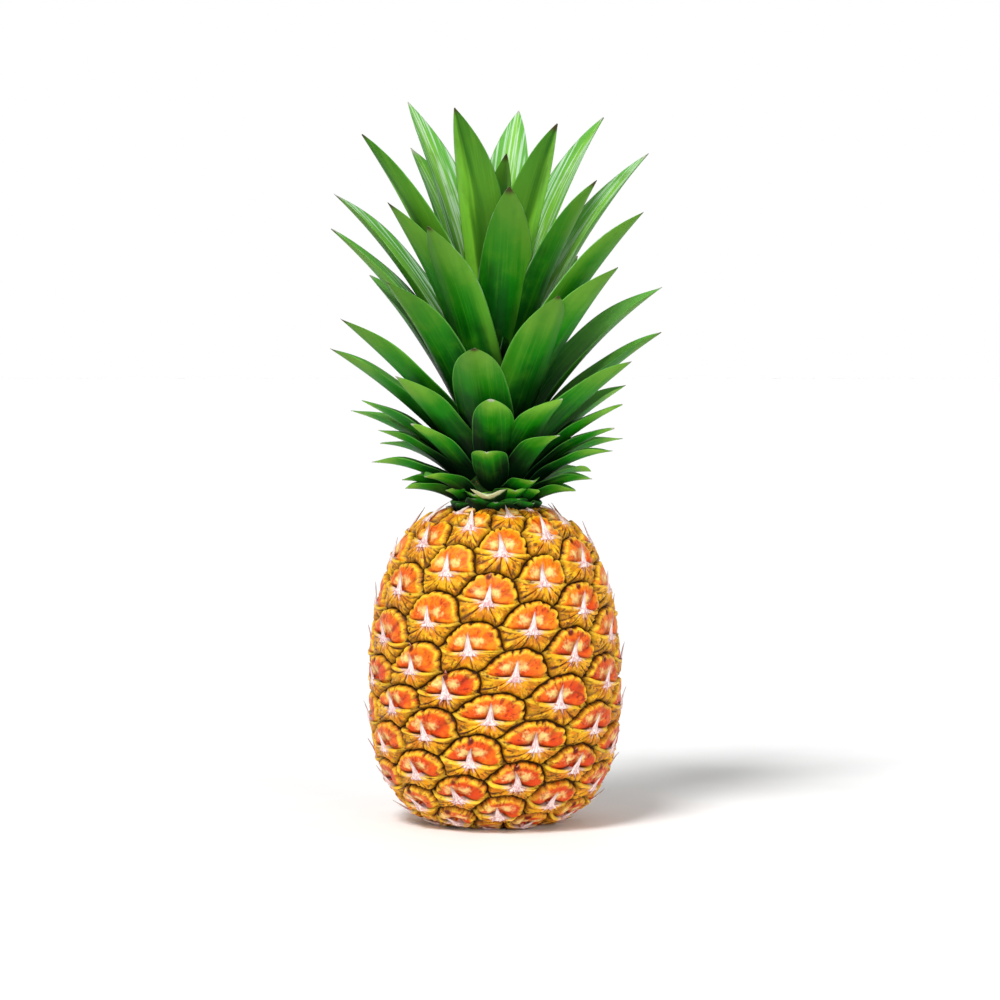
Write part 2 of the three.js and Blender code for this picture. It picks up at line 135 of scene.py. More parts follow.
# Folds round an eye: how many, where they start, how sharp they are and over which climb they rise.
FOLDS = {
    "pleat": SimpleNamespace(count=(9, 1.4), turn=(0, 1), sharpness=2.2, climb=(0.5, 0.92)),
    "valley": SimpleNamespace(count=(3, 0), turn=(0, 0.12), sharpness=2.5, climb=(0.1, 0.35)),
    "rib": SimpleNamespace(count=(7, 1.9), turn=(0, 1), sharpness=3.5, climb=(0.12, 0.4)),
    "short rib": SimpleNamespace(count=(15, 3), turn=(0, 1), sharpness=1.8, climb=(0.45, 0.8)),
    "ray": SimpleNamespace(count=(5, 0), turn=(0.5, 1), sharpness=0.8, climb=(0, 0.1)),
}
FOLD_SPREAD = 0.35
FOLD_SHIFT = 3
PLEAT_DEPTH = 0.9
PLEAT_NOTCH = 2.2
PLEAT_LEAST = 0.3
PLEAT_WAVE = 17
PLEAT_WAVE_START = 9
VALLEY_SIZE = (0.6, 0.4)
VALLEY_DEPTH = 0.9
VALLEY_NOTCH = 0.7
VALLEY_MARK = 0.8
RIB_DEPTH = 1.5
SHORT_RIB_DEPTH = 1.1
SHORT_RIB_MARK = 0.7
RAY_HEIGHT = 0.8
RAY_REACH = 6

# How ripe an eye looks, from the top of the fruit to its base.
RIPE_HEIGHTS = (150, 20)

# Papery spikes. On the upper eyes they are longer and stand off further.
BLADE_SIDES = 8
SPIKE_STATIONS = 13
SPIKE_LENGTH = (11.6, 1)
SPIKE_DROP = 4
SPIKE_FOOT_DROP = 3.5
SPIKE_LEAN = 2
SPIKE_LEAN_POWER = 1.4
SPIKE_BOW = 0.8
SPIKE_LEAST_SIZE = 0.35
SPIKE_LEAST_FULLNESS = 0.02
SPIKE_WIDTH = 2.2
SPIKE_TAPER = 1.3
SPIKE_FLARE = 2.6
SPIKE_FLARE_SHARE = 0.16
SPIKE_TIP_WIDTH = 0.08
SPIKE_THICKNESS = 1.4
SPIKE_THINNING = 0.85
SPIKE_KEEL = 0.35
SPIKE_FOOT_STAND = 1.7
SPIKE_TIP_STAND = 4.4
SPIKE_STAND_POWER = 1.7
SPIKE_FLOOR_GAP = 0.2
SPIKE_UPPER_EYES = (8, 24)
SPIKE_UPPER_SCALE = 1.35
SPIKE_UPPER_STAND = 1.8

# Withered flakes at the top of some eyes.
FLAKE_LEAST_APEX = 0.1
FLAKE_STATIONS = 7
FLAKE_SINK = 1.2
FLAKE_LENGTH = 2.6
FLAKE_WIDTH = (0.9, 0.18)
FLAKE_TAPER = 1.5
FLAKE_THINNING = 0.9
FLAKE_ROUND = 0.25
FLAKE_THICKNESS = 0.3
FLAKE_FOOT_STAND = -0.4
FLAKE_TIP_STAND = 1.9
FLAKE_STAND_POWER = 0.8
FLAKE_CURL = 1.2

# Crown, as in the CAD part: each leaf is its tip's azimuth, reach and height above the crown seat.
# A leaf's thickness and cup are given at its foot and at its tip. Its width and bend have a value
# for low, for middling and for tall leaves, and change from one to the next over two rises.
CROWN_FOOT = 156.3
CROWN_STEM_RADIUS = 20
CROWN_STEM_LENGTH = 76
CROWN_STEM_TAPER = 0.8
CROWN_STEM_END = 0.4
CROWN_STEM_SIDES = 40
CROWN_STEM_RINGS = 26
LEAF_COLUMNS = [
    [[-5, 38, 9], [-4, 56, 31], [-2, 60, 57], [-8, 70, 82], [8, 50, 160]],
    [[34, 34, 16], [36, 54, 39], [34, 59, 57], [29, 64, 107], [62, 57, 164]],
    [[80, 41, 10], [82, 49, 16], [85, 59, 30], [88, 64, 53], [62, 76, 75], [118, 97, 112], [60, 84, 148]],
    [[125, 60, 18], [112, 70, 35], [116, 74, 62], [102, 86, 89], [50, 78, 121], [118, 89, 180]],
    [[178, 42, 12], [174, 58, 34], [170, 66, 60], [176, 74, 88], [170, 80, 120], [165, 47, 202]],
    [[-142, 60, 14], [-125, 72, 32], [-116, 82, 49], [-120, 74, 118], [-108, 86, 159], [-130, 58, 206]],
    [[-88, 45, 11], [-92, 62, 24], [-95, 59, 40], [-92, 67, 55], [-94, 83, 81], [-70, 81, 96],
     [-100, 84, 141]],
    [[-52, 44, 18], [-58, 49, 44], [-52, 62, 68], [-48, 71, 114], [-35, 57, 141], [-58, 62, 153]],
    [[88, 60, 41], [-95, 47, 15], [124, 67, 198], [38, 50, 191], [-28, 42, 199], [-62, 74, 186],
     [-135, 61, 183], [40, 9, 178], [-80, 12, 140], [-165, 55, 165], [140, 66, 128]],
]
TALLEST_LEAF = 206
HIGH_LEAF = 60
SCALE_LEAVES = 8
SCALE_TURN = (22, 0)
SCALE_REACH = (26, 2)
SCALE_TIP = (9, 2)
STUB_LEAVES = (8,)
ROOT_BASE = 0.5
ROOT_RISE = 0.27
ROOT_DEPTH = 0.85
LEAF_WIDTHS = (18, 28, 27)
LEAF_WIDTH_RISES = ((40, 85), (130, 205))
LEAF_BASE_WIDTH = 0.62
LEAF_WIDEST_AT = 0.4
LEAF_TAPER = 3.2
LEAF_THICKNESS = (2.6, 1.2)
LEAF_CUP = (0.5, 0.36)
LEAF_BENDS = (24, 9, 15)
LEAF_BEND_RISES = ((20, 75), (90, 125))

# Finer form of a leaf, from its foot to its tip and from one edge to the other.
LEAF_STATIONS = 44
LEAF_TIP_DENSITY = 1.25
LEAF_END = 0.996
LEAF_ACROSS = 11
LEAF_EDGE_POWER = 2.5
LEAF_CUP_POWER = 1.8
LEAF_SWAY = 4
LEAF_RIPPLE = 0.35
LEAF_RIPPLES_ALONG = 14
LEAF_RIPPLES_ACROSS = 3
LEAF_RIPPLE_START = 6

# The short feet of lost leaves round the foot of the stem, darkened by painted shade. The root is a reach
# and a height.
SHEATHS = 14
SHEATH_ROOT = complex(20.2, -1.2)
SHEATH_TURN = (0, 7)
SHEATH_REACH = (23, 1.2)
SHEATH_TIP = (5.5, 1.6)
SHEATH_SHADE = 0.42

# Stalk end, as in the CAD part: heights and shares of the radius up its side, and its fibres.
STALK_RADIUS = 15
STALK_LENGTH = 7.7
STALK_SIDES = 96
STALK_PROFILE = [
    (0, 0.01), (0, 0.35), (0, 0.7), (0, 0.93), (0.3, 1), (2, 0.985), (4, 1), (6, 0.99),
    (STALK_LENGTH - 0.4, 1), (STALK_LENGTH, 0.95), (STALK_LENGTH, 0.01),
]
STALK_FIBRE = 0.012
STALK_FIBRES = (17, 5)

# Camera: the picture's frame spans FRAME_WIDTH at the object.
VIEW_CENTRE = (2.5, 0, 161.5)
VIEW_DISTANCE = 1800
VIEW_ELEVATION = 3
FRAME_WIDTH = 500
SENSOR_WIDTH = 36

# Floor: rings in metres.
FLOOR_SIDES = 64
FLOOR_RINGS = (0.25, 1, 4, 12)
FLOOR_DROP = 0.1

# Channels of the repeatable noise, by what varies with them.
CHANNELS = {
    "left across": 1, "left along": 2, "right across": 3, "right along": 4, "spike lean": 5,
    "spike length": 6, "scale turn": 6, "scale reach": 7, "scale tip": 8, "leaf sway": 11, "wander": 21,
    "pleat count": 31, "rib count": 32, "pleat turn": 33, "rib turn": 34, "valley turn": 35,
    "short rib count": 36, "short rib turn": 37, "ray turn": 38, "valley count": 38, "ray count": 38,
    "apex shift": 39, "apex": 40, "eye colour": 41, "pleat wave": 42, "valley size": 43,
    "wing sag": 44, "spike bow": 51, "flake curl": 52, "flake width": 53, "spike colour": 61,
    "leaf ripple": 71, "leaf colour": 73,
    "sheath turn": 31, "sheath reach": 32, "sheath tip": 33,
}


# ---- small helpers

def noise(index, channel):
    """Repeatable noise in -1..1 for a whole number and a channel."""
    value = math.sin(index * 12.9898 + CHANNELS[channel] * 78.233 + 4.137) * 43758.5453
    return 2 * (value - math.floor(value)) - 1


def varied(pair, index, channel):
    """A middle value moved by up to its spread."""
    middle, spread = pair
    return middle + spread * noise(index, channel)


def lerp(low, high, share):
    return low + (high - low) * share


def smoothstep(value, low, high):
    share = np.clip((value - low) / (high - low), 0, 1)
    return share * share * (3 - 2 * share)


def bell(value, width):
    """1 at zero, falling away smoothly over the width."""
    return np.exp(-((value / width) ** 2))


def round_edge(distance, width, roundness):
    """0 at an edge, climbing in a round shoulder to 1 at the width in from it."""
    return 1 - (1 - np.clip(distance / width, 0, 1)) ** roundness


def directions(count):
    """Evenly spaced angles round a full turn."""
    return np.arange(count) * FULL_TURN / count


def mesh_object(name, points_mm, faces, material):
    """A smooth-shaded mesh object in metres."""
    mesh = bpy.data.meshes.new(name)
    mesh.from_pydata((np.asarray(points_mm) * MM).tolist(), [], faces)
    mesh.validate()
    mesh.shade_smooth()
    mesh.materials.append(material)
    piece = bpy.data.objects.new(name, mesh)
    bpy.context.scene.collection.objects.link(piece)
    return piece


def finish_piece(piece, domain, marks, node):
    """Joins a piece to its body, with attributes from the marks: for each name a list of arrays.

    Each row of the arrays holds the three numbers of one point or face corner."""
    for name, parts in marks.items():
        rows = np.concatenate(parts).astype(np.float32)
        attribute = piece.data.attributes.new(name, "FLOAT_VECTOR", domain)
        attribute.data.foreach_set("vector", rows.ravel())
    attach(piece, "root")
    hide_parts(node)


def tube_faces(start, rings, sides):
    """Faces of a closed tube of rings, with a flat face over each end."""
    faces = []
    for ring in range(rings - 1):
        for side in range(sides):
            a = start + ring * sides + side
            b = start + ring * sides + (side + 1) % sides
            faces.append((a, b, b + sides, a + sides))
    last = start + (rings - 1) * sides
    faces.append(tuple(start + side for side in reversed(range(sides))))
    faces.append(tuple(last + side for side in range(sides)))
    return faces


def build_tubes(name, tubes, material, node):
    """Closed tubes in one mesh, from each one's rings of points and its attributes by name.

    An attribute is three values, each one number or an array that spreads over the points."""
    points = []
    faces = []
    marks = {}
    for rings, attributes in tubes:
        shape = rings.shape[:2]
        faces.extend(tube_faces(len(points), *shape))
        points.extend(rings.reshape(-1, 3))
        for attribute, values in attributes.items():
            spread = [np.broadcast_to(value, shape) for value in values]
            marks.setdefault(attribute, []).append(np.stack(spread, axis=-1).reshape(-1, 3))
    finish_piece(mesh_object(name, points, faces, material), "POINT", marks, node)


# ---- fruit body

def measure_profile():
    """The body's profile as arrays: arc from the belly, radius, height and outward slope."""
    latitude = PROFILE_LATITUDES * DEGREES
    radius = BELLY_RADIUS * np.cos(latitude) ** (2 / RADIAL_POWER)
    reach = np.where(latitude > 0, TOP_REACH, -BASE_REACH)
    height = BELLY_HEIGHT + reach * np.abs(np.sin(latitude)) ** (2 / AXIAL_POWER)
    dimple = DIMPLE_DEPTH * np.maximum(0, 1 - radius / DIMPLE_RADIUS) ** 2
    height = height + np.where(latitude < 0, dimple, 0)
    steps = np.hypot(np.diff(radius), np.diff(height))
    arc = np.concatenate([[0], np.cumsum(steps)])
    arc = arc - arc[len(arc) // 2]
    outward = np.gradient(height, arc)
    upward = -np.gradient(radius, arc)
    return {"arc": arc, "radius": radius, "height": height, "outward": outward, "upward": upward}


PROFILE = measure_profile()


def profile_at(arc, what):
    return np.interp(arc, PROFILE["arc"], PROFILE[what])


def rind_points(azimuth, arc, stand_off):
    """Points standing off the mid surface, from azimuths in degrees and arc lengths."""
    radius = profile_at(arc, "radius") + profile_at(arc, "outward") * stand_off
    height = profile_at(arc, "height") + profile_at(arc, "upward") * stand_off
    angle = azimuth * DEGREES
    return np.stack([radius * np.sin(angle), -radius * np.cos(angle), height], axis=-1)


# ---- spiral of eyes

# Three eyes meet at each corner, and its kind says which.
CORNER_STEPS = {"left": (0, 8, 13), "right": (0, 5, 13)}
# The corners of an eye's arch, from its left wing over its top to its right wing.
ARCH_CORNERS = [("right", -5), ("left", 0), ("right", 0), ("left", -8)]
# The arches that bound an eye: its own three parts, then back along those of the eyes below.
EYE_SIDES = [(0, 0), (0, 1), (0, 2), (-8, 0), (-13, 1), (-5, 2)]
OWN_SIDES = 3
COLUMNS = len(EYE_SIDES) * SIDE_STEPS
LEFT_WING = WING_STEPS
RIGHT_WING = OWN_SIDES * SIDE_STEPS - WING_STEPS


def crowd(arc, limits):
    """Arc lengths past the start of a crowded end close up towards the axis."""
    start, span = limits
    if arc < start:
        return arc
    return start + span * (1 - math.exp((start - arc) / span))


def eye_arc(k):
    arc = FIRST_EYE_ARC + ARC_STEP * k + ARC_STEP_GROWTH * k * k
    crowded = crowd(arc, TOP_CROWDING) if arc > 0 else -crowd(-arc, BASE_CROWDING)
    return crowded + EYE_SHIFTS.get(k, (0, 0))[1]


def turn_at(arc):
    """Degrees of azimuth for each mm across the rind."""
    return 1 / max(float(profile_at(arc, "radius")), PLAIN_EYE_RADIUS) / DEGREES


def eye_azimuth(k):
    return FIRST_AZIMUTH - DIVERGENCE * k + EYE_SHIFTS.get(k, (0, 0))[0] * turn_at(eye_arc(k))


def azimuth_near(azimuth, other):
    return azimuth - 360 * round((azimuth - other) / 360)


def corner_place(kind, k):
    """Azimuth and arc of a corner, moved a little off the even spiral."""
    base = eye_azimuth(k)
    azimuths = [azimuth_near(eye_azimuth(k + step), base) for step in CORNER_STEPS[kind]]
    arc = sum(eye_arc(k + step) for step in CORNER_STEPS[kind]) / 3
    across = EYE_JITTER * noise(k, f"{kind} across")
    return sum(azimuths) / 3 + across * turn_at(arc), arc + EYE_JITTER * noise(k, f"{kind} along")


def hermite(start, end, leaving, arriving, share):
    """A cubic curve between two points from its directions at each, as complex numbers."""
    rest = 1 - share
    return (start * (1 + 2 * share) * rest ** 2 + leaving * share * rest ** 2
            + end * share ** 2 * (1 + 2 * rest) - arriving * share ** 2 * rest)


@functools.cache
def eye_arch(k):
    """The arch over eye k as three curves of azimuths and arcs, left to right."""
    centre = eye_azimuth(k)
    turn = turn_at(eye_arc(k))
    flat = []
    for kind, step in ARCH_CORNERS:
        azimuth, arc = corner_place(kind, k + step)
        flat.append(complex((azimuth_near(azimuth, centre) - centre) / turn, arc))
    rise = np.exp(1j * WING_SLOPE * DEGREES)
    over = [flat[2] - flat[0], flat[3] - flat[1]]
    heading = [WING_PULL * rise, *(ARCH_PULL * way / abs(way) for way in over), WING_PULL / rise]
    even = np.linspace(0, 1, SIDE_STEPS + 1)
    share = lerp(even, (1 - np.cos(math.pi * even)) / 2, CORNER_DENSITY)
    curves = []
    for part in range(OWN_SIDES):
        start, end = flat[part], flat[part + 1]
        length = abs(end - start)
        curve = hermite(start, end, heading[part] * length, heading[part + 1] * length, share)
        waves = WANDER_WAVES * share + noise(OWN_SIDES * k + part, "wander")
        swing = np.sin(math.pi * share) * np.sin(math.pi * waves)
        curve = curve + 1j * WANDER * swing * (end - start) / length
        curves.append((centre + curve.real * turn, curve.imag))
    return curves


def eye_boundary(k):
    """Azimuths and arcs round eye k, clockwise from its left wing corner."""
    centre = eye_azimuth(k)
    azimuths = []
    arcs = []
    for side, (step, part) in enumerate(EYE_SIDES):
        curve_azimuths, curve_arcs = eye_arch(k + step)[part]
        if side >= OWN_SIDES:
            curve_azimuths, curve_arcs = curve_azimuths[::-1], curve_arcs[::-1]
        turn = 360 * round((curve_azimuths[0] - centre) / 360)
        azimuths.extend(curve_azimuths[:-1] - turn)
        arcs.extend(curve_arcs[:-1])
    return np.array(azimuths), np.array(arcs)


def vertex_key(k, column):
    """Names a boundary vertex alike from each eye that shares it."""
    side, along = divmod(column, SIDE_STEPS)
    step, part = EYE_SIDES[side]
    owner = k + step
    if side >= OWN_SIDES:
        along = SIDE_STEPS - along
    if along in (0, SIDE_STEPS):
        kind, corner_step = ARCH_CORNERS[part + (along > 0)]
        return kind, owner + corner_step
    return owner, part, along


@functools.cache
def eye_frame(k):
    """What every piece of eye k is placed by."""
    azimuths, arcs = eye_boundary(k)
    corners = np.arange(0, COLUMNS, SIDE_STEPS // 2)
    centre_arc = float(arcs[corners].mean())
    radius = float(profile_at(centre_arc, "radius"))
    fullness = float(smoothstep(radius, PLAIN_EYE_RADIUS, FULL_EYE_RADIUS))
    size = lerp(SPIKE_LEAST_SIZE, 1, fullness)
    return SimpleNamespace(
        azimuths=azimuths, arcs=arcs, azimuth=float(azimuths[corners].mean()), arc=centre_arc,
        turn=turn_at(centre_arc), fullness=fullness, size=size, hub=centre_arc - HUB_DROP * size,
    )


# ---- surface of one eye

def turn_between(angle, start, end):
    """How far an angle has turned from start towards end, anticlockwise, as a share."""
    return (angle - start) % FULL_TURN / ((end - start) % FULL_TURN)


def angle_apart(angle, other):
    return np.abs((angle - other + math.pi) % FULL_TURN - math.pi)


def eye_grid(k, eye):
    """Places on eye k as arrays of RINGS + 1 rows, the hub first, and where they are on it."""
    share = 1 - (1 - np.linspace(0, 1, RINGS + 1)[:, None]) ** RIM_DENSITY
    rim_across = (eye.azimuths - eye.azimuth) / eye.turn
    rim_along = eye.arcs - eye.hub
    angle = np.arctan2(rim_along, rim_across)
    swell = np.sin(math.pi * share)
    sag = WING_SAG * (1 + WING_SAG_SPREAD * noise(k, "wing sag") * np.sign(np.cos(angle)))
    across = rim_across * share
    along = rim_along * share - sag * eye.size * swell * np.abs(np.cos(angle)) ** 3
    reach = np.hypot(across, along)
    rim = np.hypot(across[..., None] - rim_across, along[..., None] - rim_along).min(axis=2)
    left, right = angle[LEFT_WING], angle[RIGHT_WING]
    from_wing = np.minimum(angle_apart(angle, left), angle_apart(angle, right))
    columns = np.arange(COLUMNS)
    return SimpleNamespace(
        share=share, angle=angle, swell=swell, across=across, along=along, reach=reach, rim=rim,
        edge=reach * np.sin(np.minimum(from_wing, math.pi / 2)),
        in_fan=turn_between(angle, right, left),
        in_skirt=turn_between(angle, left, right),
        fan=(columns > LEFT_WING) & (columns < RIGHT_WING),
        wing_line=np.isin(columns, (LEFT_WING, RIGHT_WING)),
    )


def folds(k, kind, around, share):
    """One kind of folds on eye k: ridges of 1 at uneven places round it, and 0 between them."""
    fold = FOLDS[kind]
    count = round(varied(fold.count, k, f"{kind} count"))
    turn = varied(fold.turn, k, f"{kind} turn")
    uneven = FOLD_SPREAD * np.sin(FULL_TURN * around + FOLD_SHIFT * turn)
    ridge = (1 - np.abs(np.sin(math.pi * (count * around + uneven + turn)))) ** fold.sharpness
    return ridge * smoothstep(share, *fold.climb)


def fan_folds(k, grid):
    """Pleats at the fan's rim, the valleys between its three sepals and its dark apex, 0 to 1."""
    wave = np.sin(PLEAT_WAVE * grid.in_fan + PLEAT_WAVE_START * noise(k, "pleat wave"))
    pleat = folds(k, "pleat", grid.in_fan, grid.share) * lerp(PLEAT_LEAST, 1, (1 + wave) / 2)
    valley = folds(k, "valley", grid.in_fan, grid.share) * varied(VALLEY_SIZE, k, "valley size")
    apex = bell(grid.across - APEX_SHIFT * noise(k, "apex shift"), APEX_WIDTH)
    apex = apex * bell(grid.rim - APEX_FROM_RIM, APEX_WIDTH) * smoothstep(grid.angle, *APEX_ANGLES)
    return pleat, valley, apex * smoothstep(noise(k, "apex"), *APEX_CHANCE)


def skirt_folds(k, eye, grid):
    """Long ribs of the skirt, the short ones near its edge and the rays by its spike, 0 to 1."""
    rib = folds(k, "rib", grid.in_skirt, grid.share)
    short = folds(k, "short rib", grid.in_skirt, grid.share)
    ray = folds(k, "ray", grid.in_skirt, grid.share) * bell(grid.reach / eye.size, RAY_REACH)
    return rib, short, ray


def fan_relief(k, eye, grid):
    """Rise and marks of the fan, and of the sliver of skirt that shows round its foot."""
    pleat, valley, apex = fan_folds(k, grid)
    rim = grid.rim - PLEAT_NOTCH * np.maximum(pleat, VALLEY_NOTCH * valley)
    corner = np.hypot(np.maximum(FAN_CORNER - rim, 0), np.maximum(FAN_CORNER - grid.edge, 0))
    depth = FAN_CORNER - corner
    low = -lerp(SLIT_DEPTH, GROOVE_DEPTH, smoothstep(grid.share, *SLIT_CLIMB))
    high = lerp(FAN_LOW, FAN_HIGH, smoothstep(grid.share, *FAN_CLIMB)) * eye.fullness
    high = high - PLEAT_DEPTH * pleat - VALLEY_DEPTH * valley - APEX_DEPTH * apex
    rise = lerp(low, high, round_edge(depth, FAN_EDGE, FAN_ROUNDNESS))
    sliver = smoothstep(-depth, 0, SLIVER_WIDTH) * round_edge(grid.rim, SKIRT_EDGE, SKIRT_ROUNDNESS)
    sliver = lerp(-GROOVE_DEPTH, SLIVER_HIGH * eye.fullness, sliver)
    return {
        "rise": np.maximum(rise, sliver),
        "rim": np.maximum(rim, 0),
        "fold": np.maximum(pleat, VALLEY_MARK * valley),
        "ray": 0,
        "side": depth,
        "apex": apex,
    }


def skirt_relief(k, eye, grid):
    """Rise and marks of the skirt."""
    rib, short, ray = skirt_folds(k, eye, grid)
    lip = WING_LIP * bell(grid.edge, WING_LIP_WIDTH) * smoothstep(grid.share, *WING_LIP_CLIMB)
    cuts = RIB_DEPTH * rib + SHORT_RIB_DEPTH * short - RAY_HEIGHT * ray
    high = (SKIRT_HIGH + lip) * eye.fullness - cuts * eye.size
    return {
        "rise": lerp(-GROOVE_DEPTH, high, round_edge(grid.rim, SKIRT_EDGE, SKIRT_ROUNDNESS)),
        "rim": grid.rim,
        "fold": np.maximum(rib, SHORT_RIB_MARK * short),
        "ray": ray,
        "side": -grid.edge,
        "apex": 0,
    }


def eye_surface(k, eye):
    """Places, rise and marks of eye k, as arrays of RINGS + 1 rows."""
    grid = eye_grid(k, eye)
    fan = fan_relief(k, eye, grid)
    skirt = skirt_relief(k, eye, grid)
    surface = {what: np.where(grid.fan, fan[what], skirt[what]) for what in fan}
    along = grid.along + WING_OVERHANG * eye.size * grid.swell * grid.wing_line
    return SimpleNamespace(across=grid.across, along=along, **surface)


def disc_faces(rings, sides):
    """Faces of a disc of vertices: its hub, then ring after ring, each clockwise as you look at it."""
    number = 1 + np.arange(rings * sides).reshape(rings, sides)
    following = np.roll(number, -1, axis=1)
    faces = [(0, int(b), int(a)) for a, b in zip(number[0], following[0])]
    quads = np.stack([number[:-1], following[:-1], following[1:], number[1:]], axis=-1)
    return faces + quads.reshape(-1, 4).tolist()


EYE_FACES = disc_faces(RINGS, COLUMNS)
EYE_CORNERS = np.array([vertex for face in EYE_FACES for vertex in face])


def eye_attributes(k, eye, surface):
    """The attributes of eye k, a row of three numbers for each of its vertices."""
    ripe = smoothstep(profile_at(eye.arc, "height"), *RIPE_HEIGHTS)
    marks = {
        "eye_place": (surface.across, surface.along, surface.rim),
        "eye_marks": (surface.fold, surface.ray, surface.side),
        "eye_kind": (noise(k, "eye colour"), ripe, surface.apex),
    }
    rows = {}
    for attribute, values in marks.items():
        stacked = np.stack(np.broadcast_arrays(*values), axis=-1)
        rows[attribute] = np.concatenate([stacked[0, :1], stacked[1:].reshape(-1, 3)])
    return rows


def add_eye_points(k, placed, points, shared):
    """Adds the points of eye k and gives the number of each, where eyes share those of their rims."""
    inner = placed[1:RINGS].reshape(-1, 3)
    number = list(range(len(points), len(points) + 1 + len(inner)))
    points.append(placed[0, 0])
    points.extend(inner)
    for column in range(COLUMNS):
        key = vertex_key(k, column)
        if key not in shared:
            shared[key] = len(points)
            points.append(placed[RINGS, column])
        number.append(shared[key])
    return number


def build_rind(name, eyes, material):
    """One piece of rind: whole eyes side by side, sharing the vertices of their grooves."""
    points = []
    shared = {}
    faces = []
    marks = {}
    for k in eyes:
        eye = eye_frame(k)
        surface = eye_surface(k, eye)
        azimuth = eye.azimuth + surface.across * eye.turn
        placed = rind_points(azimuth, eye.hub + surface.along, surface.rise)
        placed[..., 2] = np.maximum(placed[..., 2], 0)
        number = add_eye_points(k, placed, points, shared)
        faces.extend([number[vertex] for vertex in face] for face in EYE_FACES)
        for attribute, rows in eye_attributes(k, eye, surface).items():
            marks.setdefault(attribute, []).append(rows[EYE_CORNERS])
    finish_piece(mesh_object(name, points, faces, material), "CORNER", marks, "fruit")


# ---- papery spikes and flakes

def blade_on_rind(eye, across, along, stand):
    """Points of a blade from its places across the eye, along the rind and off its surface."""
    return rind_points(eye.azimuth + across * eye.turn, along, stand)


def spike(k, eye):
    """One eye's spike, a closed blade with its foot in the rind, and its marks."""
    share = np.linspace(0, 1, SPIKE_STATIONS)[:, None]
    turn = directions(BLADE_SIDES)
    upper = smoothstep(k, *SPIKE_UPPER_EYES)
    scale = lerp(1, SPIKE_UPPER_SCALE, upper)
    bow = SPIKE_BOW * noise(k, "spike bow") * np.sin(math.pi * share)
    centre = SPIKE_LEAN * noise(k, "spike lean") * share ** SPIKE_LEAN_POWER + bow * eye.size
    foot = eye.arc - SPIKE_FOOT_DROP * eye.size
    tip = eye.arc - SPIKE_DROP + varied(SPIKE_LENGTH, k, "spike length") * scale
    blade = SPIKE_WIDTH * scale * (1 - share ** SPIKE_TAPER)
    half = (blade + SPIKE_FLARE * bell(share, SPIKE_FLARE_SHARE)) * eye.size + SPIKE_TIP_WIDTH
    thick = SPIKE_THICKNESS * (1 - SPIKE_THINNING * share) / 2
    tip_stand = SPIKE_TIP_STAND + SPIKE_UPPER_STAND * upper
    stand = lerp(SPIKE_FOOT_STAND, tip_stand, share ** SPIKE_STAND_POWER) * eye.fullness
    stand = stand + thick * (np.sin(turn) - SPIKE_KEEL * np.cos(2 * turn))
    rings = blade_on_rind(eye, centre + half * np.cos(turn), lerp(foot, tip, share), stand)
    rings[..., 2] = np.maximum(rings[..., 2], SPIKE_FLOOR_GAP)
    return rings, {"spike_place": (share, np.cos(turn), noise(k, "spike colour"))}


def flake(k, eye):
    """A withered petal tip: a small curled flake at the top of an eye, and its marks."""
    share = np.linspace(0, 1, FLAKE_STATIONS)[:, None]
    turn = directions(BLADE_SIDES)
    top = float(eye.arcs.max()) - APEX_FROM_RIM - FLAKE_SINK
    centre = APEX_SHIFT * noise(k, "apex shift") + FLAKE_CURL * noise(k, "flake curl") * share ** 2
    half = varied(FLAKE_WIDTH, k, "flake width") * (1 - FLAKE_THINNING * share ** FLAKE_TAPER)
    along = top + FLAKE_LENGTH * share + FLAKE_ROUND * np.sin(turn)
    stand = lerp(FLAKE_FOOT_STAND, FLAKE_TIP_STAND, share ** FLAKE_STAND_POWER)
    stand = stand + FLAKE_THICKNESS * (1 - share) * np.sin(turn)
    rings = blade_on_rind(eye, centre + half * np.cos(turn), along, stand)
    return rings, {"flake_place": (share, 0, 0)}


def build_spikes(material):
    eyes = {k: eye_frame(k) for k in range(BASE_EYE, TOP_EYE + 1)}
    spikes = [spike(k, eye) for k, eye in eyes.items() if eye.fullness >= SPIKE_LEAST_FULLNESS]
    build_tubes("bract_spikes", spikes, material, "fruit")


def build_flower_remains(material):
    eyes = {k: eye_frame(k) for k in range(BASE_EYE, TOP_EYE + 1) if noise(k, "apex") >= FLAKE_LEAST_APEX}
    flakes = [flake(k, eye) for k, eye in eyes.items() if eye.fullness == 1]
    build_tubes("flower_remains", flakes, material, "fruit")


# ---- crown

def stem_radius(height):
    share = np.clip(height / CROWN_STEM_LENGTH, 0, 1)
    return CROWN_STEM_RADIUS * (1 - share) ** CROWN_STEM_TAPER


def by_height(height, values, rises):
    """A leaf's value from those of low, middling and tall leaves."""
    low, middling, tall = values
    value = lerp(low, middling, smoothstep(height, *rises[0]))
    return lerp(value, tall, smoothstep(height, *rises[1]))


def leaf_root(height):
    root = ROOT_BASE + ROOT_RISE * height
    return complex(ROOT_DEPTH * stem_radius(root), root)


def leaf_rib(start, reach, height, share):
    """Points and unit tangents of a leaf's mid-rib in its upright plane, as complex numbers."""
    end = complex(reach, height)
    chord = end - start
    bend = np.exp(1j * by_height(height, LEAF_BENDS, LEAF_BEND_RISES) * DEGREES)
    outgoing = start + chord / 3 * bend
    incoming = end - chord / 3 / bend
    rest = 1 - share
    points = (rest ** 3 * start + 3 * rest ** 2 * share * outgoing
              + 3 * rest * share ** 2 * incoming + share ** 3 * end)
    tangents = (rest ** 2 * (outgoing - start) + 2 * rest * share * (incoming - outgoing)
                + share ** 2 * (end - incoming))
    return points, tangents / np.abs(tangents)


